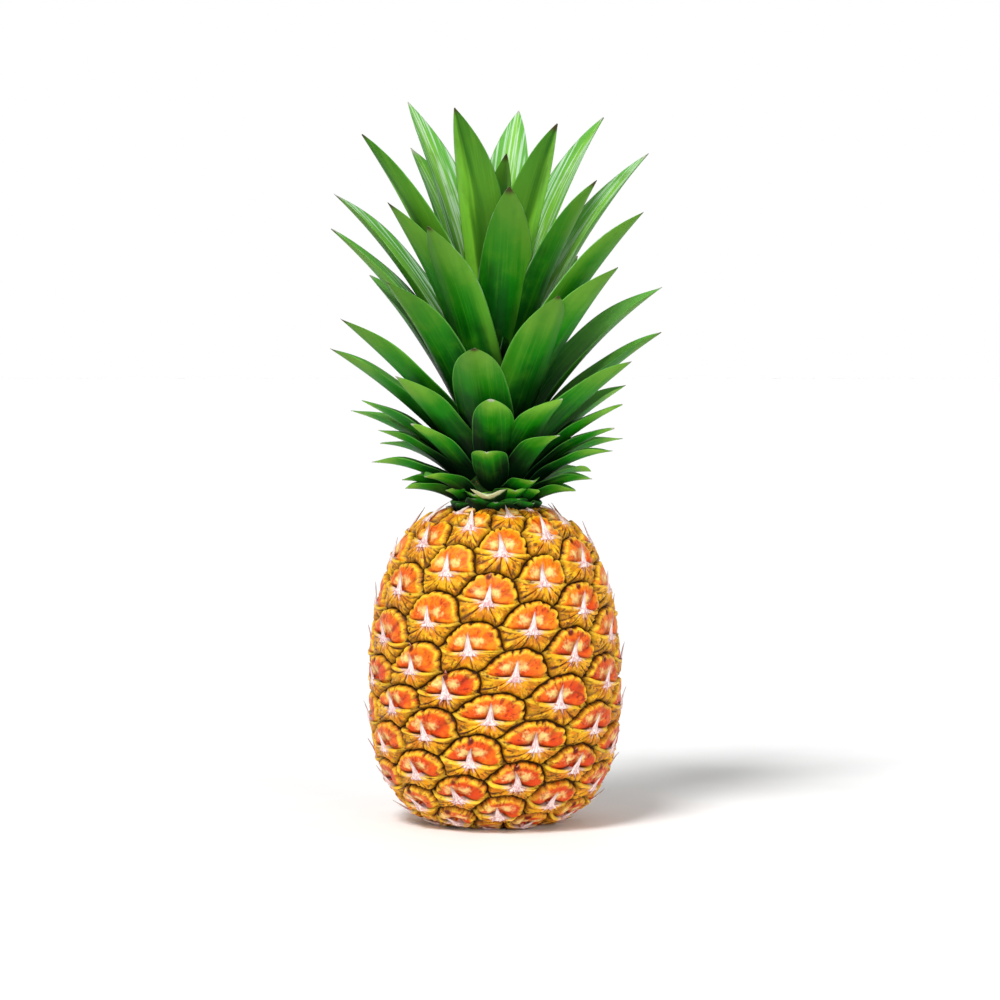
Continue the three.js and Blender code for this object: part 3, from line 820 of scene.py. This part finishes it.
def width_share(share):
    rising = np.sin(np.minimum(share / LEAF_WIDEST_AT, 1) * math.pi / 2)
    falling = np.clip((share - LEAF_WIDEST_AT) / (1 - LEAF_WIDEST_AT), 0, 1) ** LEAF_TAPER
    return lerp(LEAF_BASE_WIDTH, 1, rising) - falling


def leaf(index, azimuth, reach, height, root, shade):
    """One leaf as rings round its blade, over its inner face and back under it, and its marks."""
    share = LEAF_END * (1 - (1 - np.linspace(0, 1, LEAF_STATIONS)) ** LEAF_TIP_DENSITY)[:, None]
    spread = np.sin(np.linspace(-1, 1, LEAF_ACROSS) * math.pi / 2)
    across = np.concatenate([spread, spread[-2:0:-1]])
    inner = np.concatenate([np.ones(LEAF_ACROSS), -np.ones(LEAF_ACROSS - 2)])
    rib, tangent = leaf_rib(root, reach, height, share)
    half = by_height(height, LEAF_WIDTHS, LEAF_WIDTH_RISES) * width_share(share) / 2
    thick = lerp(*LEAF_THICKNESS, share) * np.sqrt(width_share(share))
    waves = LEAF_RIPPLES_ALONG * share + LEAF_RIPPLES_ACROSS * across
    waves = waves + LEAF_RIPPLE_START * noise(index, "leaf ripple")
    lift = lerp(*LEAF_CUP, share) * half * np.abs(across) ** LEAF_CUP_POWER
    lift = lift + inner * thick * (1 - np.abs(across) ** LEAF_EDGE_POWER) / 2
    lift = lift + LEAF_RIPPLE * np.sin(waves) * across ** 2
    sway = LEAF_SWAY * noise(index, "leaf sway") * 4 * share ** 2 * (1 - share)
    side = half * across + sway
    out = rib.real - tangent.imag * lift
    up = rib.imag + tangent.real * lift + CROWN_FOOT
    sine, cosine = math.sin(azimuth * DEGREES), math.cos(azimuth * DEGREES)
    rings = np.stack([out * sine + side * cosine, side * sine - out * cosine, up], axis=-1)
    return rings, {
        "leaf_place": (share, across, inner),
        "leaf_span": (half * across, abs(complex(reach, height)) * share, shade),
        "leaf_kind": (noise(index, "leaf colour"), height / TALLEST_LEAF, index in STUB_LEAVES),
    }


def whorl(kind, count, turn, reach, tip):
    """Azimuth, reach and height of leaves evenly spaced round the stem, each a little varied."""
    return [
        (
            360 * i / count + varied(turn, i, f"{kind} turn"),
            varied(reach, i, f"{kind} reach"),
            varied(tip, i, f"{kind} tip"),
        )
        for i in range(count)
    ]


def build_leaves(material):
    """Every leaf of the crown, in two pieces by height, and the feet of lost leaves round its stem."""
    tips = whorl("scale", SCALE_LEAVES, SCALE_TURN, SCALE_REACH, SCALE_TIP)
    tips.extend(tip for column in LEAF_COLUMNS for tip in column)
    sheaths = whorl("sheath", SHEATHS, SHEATH_TURN, SHEATH_REACH, SHEATH_TIP)
    low = []
    high = []
    for index, (azimuth, reach, height) in enumerate(tips):
        part = low if height < HIGH_LEAF else high
        part.append(leaf(index, azimuth, reach, height, leaf_root(height), 0))
    feet = [leaf(i, *tip, SHEATH_ROOT, SHEATH_SHADE) for i, tip in enumerate(sheaths, len(tips))]
    build_tubes("crown_leaves_low", low, material, "crown")
    build_tubes("crown_leaves_high", high, material, "crown")
    build_tubes("crown_leaf_feet", feet, material, "crown")


def turned_rings(radius, height, turn):
    """Rings round the Z axis, from arrays that spread over levels and directions."""
    places = np.broadcast_arrays(radius * np.cos(turn), radius * np.sin(turn), height)
    return np.stack(places, axis=-1)


def build_crown_stem(material):
    """The crown's stem: a tapered axis that the leaves clasp."""
    height = np.linspace(0, CROWN_STEM_LENGTH - CROWN_STEM_END, CROWN_STEM_RINGS)[:, None]
    rings = turned_rings(stem_radius(height), height + CROWN_FOOT, directions(CROWN_STEM_SIDES))
    build_tubes("crown_stem", [(rings, {})], material, "crown")


# ---- stalk end

def build_stalk(material):
    """The cut stalk: a fibrous plug, its flat cut face level with the fruit's base."""
    turn = directions(STALK_SIDES)
    many, few = STALK_FIBRES
    fibre = 1 - STALK_FIBRE * (1 + np.sin(many * turn) * np.sin(few * turn + 1))
    height, share = np.array(STALK_PROFILE).T[..., None]
    rings = turned_rings(STALK_RADIUS * share * fibre, height, turn)
    build_tubes("stalk_end", [(rings, {})], material, "stalk")


# ---- colours

def rgb(red, green, blue):
    """A linear colour from screen values of 0 to 255."""
    def channel(value):
        share = value / 255
        return share / 12.92 if share <= 0.04045 else ((share + 0.055) / 1.055) ** 2.4
    return (channel(red), channel(green), channel(blue), 1)


FAN_ORANGE = rgb(246, 128, 4)
FAN_RED = rgb(214, 62, 2)
FAN_GOLD = rgb(238, 142, 4)
FAN_RIM = rgb(255, 208, 48)
FAN_CREASE = rgb(132, 32, 2)
CREAM = rgb(255, 226, 140)
APEX_RED = rgb(104, 26, 4)
SKIRT_LIGHT = rgb(242, 174, 8)
SKIRT_GOLD = rgb(208, 118, 4)
OLIVE = rgb(150, 118, 6)
FOLD_BROWN = rgb(84, 38, 8)
DRIED_PURPLE = rgb(118, 46, 46)
RAY_PINK = rgb(240, 206, 206)
SPIKE_ROSE = rgb(204, 150, 150)
SPIKE_PALE = rgb(255, 242, 236)
SPIKE_FOOT = rgb(186, 110, 122)
SPIKE_TIP = rgb(150, 84, 60)
SPIKE_EDGE_DRIED_AND_SHADED = rgb(74, 30, 12)
FLAKE_PINK = rgb(214, 130, 112)
FLANK_OLIVE = rgb(138, 96, 8)
FLANK_RED = rgb(176, 84, 4)
GROOVE_BROWN = rgb(56, 26, 7)
# Leaf greens from LEAF_SHADE through LEAF_DEEP and LEAF_GREEN to LEAF_LIGHT are painted shade and light:
# near black at a leaf's foot where other leaves shade it, light green towards its lit tip.
LEAF_SHADE = rgb(0, 24, 4)
LEAF_DEEP = rgb(2, 73, 5)
LEAF_GREEN = rgb(14, 122, 2)
LEAF_LIGHT = rgb(122, 180, 54)
# A tall leaf's painted lit side and its base, then its painted shaded side and keel, which is also the
# colour it darkens to towards its tip.
TALL_LIT_BASE = rgb(140, 216, 60)
TALL_SHADE_AND_TIP = rgb(14, 80, 6)
STUB_CREAM = rgb(214, 224, 176)
LEAF_YELLOW = rgb(78, 128, 20)
INNER_DEEP = rgb(24, 94, 30)
INNER_LIGHT = rgb(98, 168, 66)
INNER_YELLOW = rgb(140, 200, 50)
SILVER = rgb(214, 234, 220)
TIP_OLIVE = rgb(70, 116, 34)
TIP_BROWN = rgb(60, 40, 22)
TIP_PALE = rgb(176, 176, 160)
# The crown's stem is painted dark green as the shade among the leaf feet.
STEM_SHADE_LIGHT = rgb(34, 70, 14)
STEM_SHADE_DARK = rgb(8, 28, 5)
STALK_LIGHT = rgb(214, 184, 128)
STALK_DARK = rgb(168, 128, 76)
PORE_BROWN = rgb(92, 58, 30)
FLOOR_LIGHT = (0.99, 0.99, 0.99, 1)
FLOOR_DARK = (0.96, 0.96, 0.96, 1)
WHITE = (1, 1, 1, 1)


# ---- material nodes

class Value:
    """A number or colour that a node gives out. Arithmetic on it adds nodes to its material."""

    def __init__(self, graph, socket):
        self.graph = graph
        self.socket = socket

    def __add__(self, other):
        return self.graph.math("ADD", self, other)

    def __sub__(self, other):
        return self.graph.math("SUBTRACT", self, other)

    def __rsub__(self, other):
        return self.graph.math("SUBTRACT", other, self)

    def __mul__(self, other):
        return self.graph.math("MULTIPLY", self, other)

    def __abs__(self):
        return self.graph.math("ABSOLUTE", self)

    __radd__ = __add__
    __rmul__ = __mul__

    def band(self, start, end):
        """0 at start and 1 at end, with a smooth step between them. End may be the lower one."""
        settings = {"interpolation_type": "SMOOTHSTEP"}
        inputs = {"Value": self, "From Min": start, "From Max": end}
        return self.graph.node("ShaderNodeMapRange", "Result", inputs, settings)


class Graph:
    """Builds the nodes of a material or world. Places and lengths in them are in mm."""

    def __init__(self, owner, shader="Principled BSDF"):
        owner.use_nodes = True
        self.owner = owner
        self.tree = owner.node_tree
        self.shader = self.tree.nodes[shader]

    def fill(self, sockets, inputs):
        """Links each named or numbered socket to a Value, or sets it to a plain number or colour."""
        for name, value in inputs.items():
            if isinstance(value, Value):
                self.tree.links.new(value.socket, sockets[name])
            else:
                sockets[name].default_value = value

    def node(self, kind, output, inputs, settings=None):
        """Adds a node and gives back one of its outputs."""
        node = self.tree.nodes.new(kind)
        for name, value in (settings or {}).items():
            setattr(node, name, value)
        self.fill(node.inputs, inputs)
        return Value(self, node.outputs[output])

    def split(self, vector):
        """The three numbers of a vector."""
        node = self.node("ShaderNodeSeparateXYZ", 0, {"Vector": vector}).socket.node
        return [Value(self, output) for output in node.outputs]

    def attribute(self, name):
        """The three numbers of a vector attribute."""
        return self.split(self.node("ShaderNodeAttribute", "Vector", {}, {"attribute_name": name}))

    def place(self):
        """The point's place in the object's own frame, in mm."""
        metres = self.node("ShaderNodeTexCoord", "Object", {})
        inputs = {"Vector": metres, "Scale": 1 / MM}
        return self.node("ShaderNodeVectorMath", 0, inputs, {"operation": "SCALE"})

    def math(self, operation, *values):
        return self.node("ShaderNodeMath", 0, dict(enumerate(values)), {"operation": operation})

    def vector(self, x, y, z):
        return self.node("ShaderNodeCombineXYZ", 0, {"X": x, "Y": y, "Z": z})

    def noise(self, vector, scale, detail=2, roughness=0.5):
        inputs = {"Vector": vector, "Scale": scale, "Detail": detail, "Roughness": roughness}
        return self.node("ShaderNodeTexNoise", "Fac", inputs)

    def mix(self, share, first, second):
        settings = {"data_type": "RGBA", "clamp_factor": True}
        return self.node("ShaderNodeMix", 2, {"Factor": share, 6: first, 7: second}, settings)

    def paint(self, color, *coats):
        """A colour with coats laid over it in turn, each a share of 0 to 1 and a colour."""
        for share, coat in coats:
            color = self.mix(share, color, coat)
        return color

    def finish(self, color, roughness, height, strength, depth, specular=0.5):
        """The finished material, its surface raised by a height of 0 to 1 times a depth in mm."""
        relief = {"Height": height, "Strength": strength, "Distance": depth * MM}
        normal = self.node("ShaderNodeBump", 0, relief)
        looks = {"Base Color": color, "Roughness": roughness, "Specular IOR Level": specular}
        self.fill(self.shader.inputs, {**looks, "Normal": normal})
        return self.owner


def new_material(name):
    return Graph(bpy.data.materials.new(name))


# ---- materials

def radial_vector(graph, across, along, random):
    """A texture place that changes fast round an eye's hub and slowly away from it."""
    flat = graph.vector(across, along, 0)
    unit = graph.node("ShaderNodeVectorMath", 0, {0: flat}, {"operation": "NORMALIZE"})
    length = graph.node("ShaderNodeVectorMath", "Value", {0: flat}, {"operation": "LENGTH"})
    x, y, _ = graph.split(unit)
    return graph.vector(x, y, 40 * random + 0.05 * length), length


def fan_color(graph, eye):
    """Orange sepals: a light lobed rim, red creases, cream beside the spike, a dark apex, and a painted
    shadow above the wings.
    """
    warmth = 0.2 + 0.75 * eye.ripe + 0.2 * eye.random + 2.2 * (eye.patches - 0.5)
    outer = eye.rim.band(7.5, 2) * warmth.band(1.5, 0.1) * (0.95 - 0.55 * eye.ripe)
    red = eye.streaks.band(0.46, 0.6) * eye.length.band(2.5, 6) * eye.rim.band(1, 4)
    lobes = eye.rim.band(3.6, 1.5) * eye.streaks.band(0.3, 0.5) * warmth.band(2, 0.6)
    dark = eye.streaks.band(0.54, 0.66) * eye.length.band(4, 9) * warmth.band(-0.1, 0.8)
    crease = eye.fold * eye.length.band(3, 8)
    beside = 0.75 * (abs(eye.across) - 3.4)
    above = eye.along - 4.4
    away = graph.math("SQRT", beside * beside + above * above) + 7 * (eye.blots - 0.5)
    # Painted shadow: dark brown along the fan's foot just above the wing's edge near the spike, where the
    # raised wing would cast it.
    slit_shadow = eye.side.band(2.2, 0.4) * eye.length.band(1.2, 2.6) * eye.length.band(11, 7)
    return graph.paint(
        graph.mix(warmth.band(0, 1), FAN_ORANGE, FAN_RED),
        (outer, FAN_GOLD),
        (0.6 * red, FAN_RED),
        (lobes, FAN_RIM),
        (0.8 * dark, FAN_CREASE),
        (0.85 * crease, FAN_CREASE),
        (0.9 * away.band(3.6, 0), CREAM),
        (0.9 * slit_shadow, GROOVE_BROWN),
        (eye.apex.band(0.2, 0.75), APEX_RED),
    )


def skirt_color(graph, eye):
    """Golden bract: olive towards its edge, brown folds with painted highlights on the ridges between
    them, pale rays and dried fibres by the spike.
    """
    olive = eye.length.band(5, 12) * eye.streaks.band(0.4, 0.6)
    # Painted highlight: light yellow on the skirt's ridges between the brown folds.
    ridge = eye.streaks.band(0.46, 0.34) * eye.length.band(3, 6)
    warm = eye.ripe * eye.spots.band(0.5, 0.7)
    fold = eye.fold.band(0.16, 0.7) * eye.streaks.band(0.32, 0.48)
    strokes = eye.rays.band(0.53, 0.62) * eye.length.band(4.5, 9.5) * eye.spots.band(0.35, 0.5)
    lip = eye.side.band(-1.5, -0.3) * eye.spots.band(0.3, 0.5)
    dried = abs(eye.across).band(5, 2) * eye.rays.band(0.54, 0.42) * eye.length.band(8.5, 4)
    dried = dried * eye.random.band(-0.5, 0.3)
    pale = graph.math("MAXIMUM", eye.ray.band(0.16, 0.5), eye.side.band(-0.9, -0.3))
    pale = pale * eye.length.band(8.5, 3) * eye.rays.band(0.36, 0.54)
    return graph.paint(
        graph.mix(eye.patches.band(0.38, 0.62), SKIRT_LIGHT, SKIRT_GOLD),
        (0.6 * olive, OLIVE),
        (0.6 * ridge, FAN_RIM),
        (0.5 * warm, FAN_ORANGE),
        (0.95 * fold, FOLD_BROWN),
        (0.8 * strokes, FOLD_BROWN),
        (0.7 * lip, FAN_RIM),
        (0.9 * dried, DRIED_PURPLE),
        (0.95 * pale, RAY_PINK),
    )


def eye_fields(graph):
    """What the rind's colours are mixed by: the marks of each eye and the noise over it."""
    across, along, rim = graph.attribute("eye_place")
    fold, ray, side = graph.attribute("eye_marks")
    random, ripe, apex = graph.attribute("eye_kind")
    place = graph.place()
    round_hub, length = radial_vector(graph, across, along, random)
    return SimpleNamespace(
        across=across, along=along, rim=rim, fold=fold, ray=ray, side=side,
        random=random, ripe=ripe, apex=apex, length=length,
        streaks=graph.noise(round_hub, scale=5.5, detail=4, roughness=0.6),
        rays=graph.noise(round_hub, scale=9),
        patches=graph.noise(place, scale=0.16, detail=3, roughness=0.55),
        spots=graph.noise(place, scale=0.3),
        blots=graph.noise(place, scale=0.45, detail=3, roughness=0.6),
        grain=graph.noise(place, scale=1.4, detail=4, roughness=0.65),
    )


def rind_material():
    graph = new_material("rind")
    eye = eye_fields(graph)
    uneven_rim = eye.rim + 1.4 * (eye.grain - 0.5)
    seam = uneven_rim.band(0.85, 0.1)
    color = graph.paint(
        skirt_color(graph, eye),
        (eye.side.band(-0.15, 0.25), fan_color(graph, eye)),
        (0.6 * uneven_rim.band(1.9, 0.6), graph.mix(eye.side.band(-0.2, 0.4), FLANK_OLIVE, FLANK_RED)),
        (0.97 * seam, GROOVE_BROWN),
    )
    roughness = 0.3 + 0.25 * eye.grain + 0.35 * seam
    relief = 0.7 * eye.streaks + 0.3 * eye.grain
    return graph.finish(color, roughness, relief, strength=0.8, depth=0.9, specular=0.22)


def spike_material():
    graph = new_material("papery_spike")
    share, side, random = graph.attribute("spike_place")
    fibres = graph.vector(4 * side, 1.5 * share, 30 * random)
    fibres = graph.noise(fibres, scale=2.2, detail=3, roughness=0.6)
    mottle = graph.noise(graph.place(), scale=0.7, detail=3, roughness=0.6)
    tip = (share + 0.15 * random).band(0.62, 0.95)
    # Dark brown edges: partly the dried blade's own colour, partly painted shade so that a blade seen
    # edge-on looks shaded.
    edge = abs(side).band(0.74, 1) * share.band(0.2, 0.6)
    color = graph.paint(
        graph.mix(fibres.band(0.35, 0.6), SPIKE_ROSE, SPIKE_PALE),
        (0.6 * share.band(0.55, 0.1) * mottle.band(0.45, 0.62), SPIKE_FOOT),
        (0.6 * tip, SPIKE_TIP),
        (0.85 * edge, SPIKE_EDGE_DRIED_AND_SHADED),
    )
    return graph.finish(color, mottle.band(-1.2, 1.6), fibres, strength=0.6, depth=0.5)


def flake_material():
    graph = new_material("withered_flower")
    share, _, _ = graph.attribute("flake_place")
    grain = graph.noise(graph.place(), scale=1.6, detail=3, roughness=0.6)
    color = graph.paint(
        APEX_RED,
        ((share + 0.8 * grain).band(0.6, 1.3), FLAKE_PINK),
        (grain.band(0.55, 0.75), FOLD_BROWN),
    )
    return graph.finish(color, grain.band(-1.2, 1), grain, strength=0.5, depth=0.3)


def leaf_fields(graph):
    """What the leaves' colours are mixed by: the marks of each leaf and the noise along it."""
    share, across, inner = graph.attribute("leaf_place")
    random, age, stub = graph.attribute("leaf_kind")
    side, along, shade = graph.attribute("leaf_span")
    lines = graph.noise(graph.vector(1.1 * side, 0.02 * along, 30 * random), scale=1)
    bands = graph.noise(graph.vector(0.16 * side, 0.012 * along, 30 * random), scale=1)
    mottle = graph.noise(graph.place(), scale=0.09, detail=3, roughness=0.55)
    # The tone is painted light and shade: dark at a leaf's foot and light towards its tip, steeper on the
    # low leaves, lighter on one side of the keel, and darker by the leaf's painted shade value. Only its
    # mottle is the leaf's own colour.
    uneven = bands - 0.5
    keel_side = across * graph.math("SIGN", random) + 1.2 * uneven
    steep = 0.5 * age.band(0.55, 0.25)
    lean = steep * (share - 0.72) + 0.3 * uneven + 0.1 * keel_side
    return SimpleNamespace(
        share=share, wide=abs(across), inner=inner, random=random, age=age, stub=stub,
        lines=lines, bands=bands, mottle=mottle, keel_side=keel_side,
        tone=share + lean + 0.3 * (mottle - 0.5) - shade,
    )


def leaf_outer_color(graph, leaf):
    """The outer face, from near black in the shade of other leaves to light green at the tip.

    Tall leaves have painted light on one side of their keel and painted shade on the other side and along
    it."""
    # Painted light on one side of the keel of middling and tall leaves.
    lit_side = leaf.keel_side.band(0.35, 0.95) * leaf.age.band(0.4, 0.7)
    # Short leaves run from painted shade to painted light by the tone.
    short = graph.paint(
        LEAF_SHADE,
        (leaf.tone.band(0.12, 0.42), LEAF_DEEP),
        (leaf.tone.band(0.36, 0.7), LEAF_GREEN),
        (leaf.tone.band(0.64, 1.08), LEAF_LIGHT),
        (0.4 * lit_side * leaf.tone.band(0.2, 0.6), LEAF_LIGHT),
    )
    # Tall leaves: painted light on one side of the keel, painted shade on the other side, along the keel
    # and at the foot, and darker towards the tip.
    tall = graph.paint(
        TALL_LIT_BASE,
        (0.7 * leaf.keel_side.band(0.3, -0.3), TALL_SHADE_AND_TIP),
        (0.75 * abs(leaf.keel_side).band(0.45, 0.05), TALL_SHADE_AND_TIP),
        (0.6 * leaf.share.band(0.6, 1), TALL_SHADE_AND_TIP),
        (leaf.tone.band(0.3, 0.05), LEAF_DEEP),
    )
    return graph.mix(leaf.age.band(0.8, 0.92), short, tall)


def leaf_inner_color(graph, leaf):
    """The inner face: fresh green with a yellow centre, and silver streaks on the tall leaves."""
    tall = leaf.age.band(0.5, 0.8)
    # Deep to light green by the tone is painted shade and light.
    return graph.paint(
        INNER_DEEP,
        (leaf.tone.band(0.15, 0.85), INNER_LIGHT),
        (0.5 * leaf.wide.band(0.7, 0.1) * tall, INNER_YELLOW),
        (0.62 * leaf.lines.band(0.48, 0.62) * tall, SILVER),
    )


def leaf_material():
    graph = new_material("crown_leaf")
    leaf = leaf_fields(graph)
    inside = leaf.inner.band(-0.3, 0.3)
    margin = leaf.wide.band(0.93, 0.99) * leaf.share.band(0.2, 0.6)
    aged = leaf.share.band(0.5, 1) * leaf.age.band(0.2, 0.45) * leaf.age.band(0.9, 0.8)
    tip = (leaf.share + 0.012 * leaf.random).band(0.958, 0.99)
    pale_tip = graph.math("MAXIMUM", inside, leaf.age.band(0.4, 0.3))
    color = graph.paint(
        leaf_outer_color(graph, leaf),
        (inside, leaf_inner_color(graph, leaf)),
        (0.2 * leaf.lines.band(0.5, 0.7) * leaf.tone, LEAF_LIGHT),
        (0.35 * leaf.mottle.band(0.5, 0.7) * leaf.tone, LEAF_YELLOW),
        (0.45 * margin, INNER_LIGHT),
        (0.75 * aged * leaf.inner.band(0.3, -0.3), TIP_OLIVE),
        (0.9 * tip, graph.mix(pale_tip, TIP_BROWN, TIP_PALE)),
        (leaf.stub * leaf.tone.band(0.25, 0.5), STUB_CREAM),
    )
    roughness = 0.38 + 0.25 * leaf.mottle
    relief = (0.7 * leaf.lines + 0.3 * leaf.bands) * leaf.share.band(0.9, 0.6)
    return graph.finish(color, roughness, relief, strength=0.4, depth=0.4, specular=0.12)


def fibre_material(name, light, dark, scale):
    """Fibrous tissue with darker pores, for the stalk's cut end and the crown's stem."""
    graph = new_material(name)
    pores = graph.node("ShaderNodeTexVoronoi", "Distance", {"Vector": graph.place(), "Scale": scale})
    grain = graph.noise(graph.place(), scale=0.6 * scale, detail=4, roughness=0.6)
    color = graph.paint(dark, (grain.band(0.3, 0.7), light), (pores.band(0.3, 0.08), PORE_BROWN))
    return graph.finish(color, 0.6 + 0.25 * grain, pores, strength=0.6, depth=0.6, specular=0.12)


def floor_material():
    graph = new_material("studio_floor")
    grain = graph.noise(graph.place(), scale=0.02, detail=3)
    color = graph.mix(grain.band(0.2, 0.8), FLOOR_DARK, FLOOR_LIGHT)
    return graph.finish(color, 0.6 + 0.1 * grain, grain, strength=0.05, depth=0.2)


# ---- studio

def sky_direction(azimuth, elevation):
    """The unit vector towards an azimuth and an elevation in degrees."""
    turn = azimuth * DEGREES
    rise = elevation * DEGREES
    return Vector((math.cos(rise) * math.sin(turn), -math.cos(rise) * math.cos(turn), math.sin(rise)))


def add_object(name, data, place, target):
    """A camera or light at a place, looking at its target."""
    thing = bpy.data.objects.new(name, data)
    bpy.context.scene.collection.objects.link(thing)
    thing.location = place
    direction = Vector(target) - thing.location
    thing.rotation_euler = direction.to_track_quat("-Z", "Y").to_euler()
    return thing


def add_camera():
    lens = bpy.data.cameras.new("camera")
    lens.sensor_width = SENSOR_WIDTH
    lens.lens = SENSOR_WIDTH * VIEW_DISTANCE / FRAME_WIDTH
    lens.clip_start = 0.05
    lens.clip_end = 50
    centre = Vector(VIEW_CENTRE) * MM
    place = centre + sky_direction(0, VIEW_ELEVATION) * VIEW_DISTANCE * MM
    bpy.context.scene.camera = add_object("camera", lens, place, centre)


def add_light(name, kind, place, target, **settings):
    light = bpy.data.lights.new(name, kind)
    for setting, value in settings.items():
        setattr(light, setting, value)
    add_object(name, light, place, target)


def add_world():
    """A studio tent: white round the horizon, dimmer overhead."""
    graph = Graph(bpy.data.worlds.new("studio"), "Background")
    _, _, height = graph.split(graph.node("ShaderNodeTexCoord", "Generated", {}))
    fade = {"Value": height, "From Min": 0.12, "From Max": 0.45, "To Min": 1, "To Max": 0.4}
    strength = graph.node("ShaderNodeMapRange", "Result", fade)
    graph.fill(graph.shader.inputs, {"Color": WHITE, "Strength": strength})
    bpy.context.scene.world = graph.owner


def add_floor():
    """A pale disc, its rings wide enough to fill every view."""
    radius = np.array(FLOOR_RINGS)[:, None] / MM
    rings = turned_rings(radius, -FLOOR_DROP, -directions(FLOOR_SIDES))
    points = [(0, 0, -FLOOR_DROP), *rings.reshape(-1, 3)]
    faces = disc_faces(len(FLOOR_RINGS), FLOOR_SIDES)
    mesh_object("floor", points, faces, floor_material())


def build_studio():
    bpy.context.scene.view_settings.view_transform = "Standard"
    add_camera()
    add_world()
    add_floor()
    add_light("key", "SUN", sky_direction(-30, 52), (0, 0, 0), energy=2.6, angle=18 * DEGREES)
    add_light("front_fill", "AREA", (0.9, -1.6, 0.5), (0, 0, 0.16), shape="DISK", size=0.7, energy=8)


# ---- the pineapple

def build_pineapple():
    rind = rind_material()
    middle, top = RIND_SPLITS
    build_rind("rind_base", range(BASE_EYE, middle), rind)
    build_rind("rind_middle", range(middle, top), rind)
    build_rind("rind_top", range(top, TOP_EYE + 1), rind)
    build_spikes(spike_material())
    build_flower_remains(flake_material())
    build_leaves(leaf_material())
    # The stem's dark greens are painted shade.
    build_crown_stem(fibre_material("crown_stem", STEM_SHADE_LIGHT, STEM_SHADE_DARK, scale=0.5))
    build_stalk(fibre_material("stalk_fibre", STALK_LIGHT, STALK_DARK, scale=0.9))


build_studio()
build_pineapple()
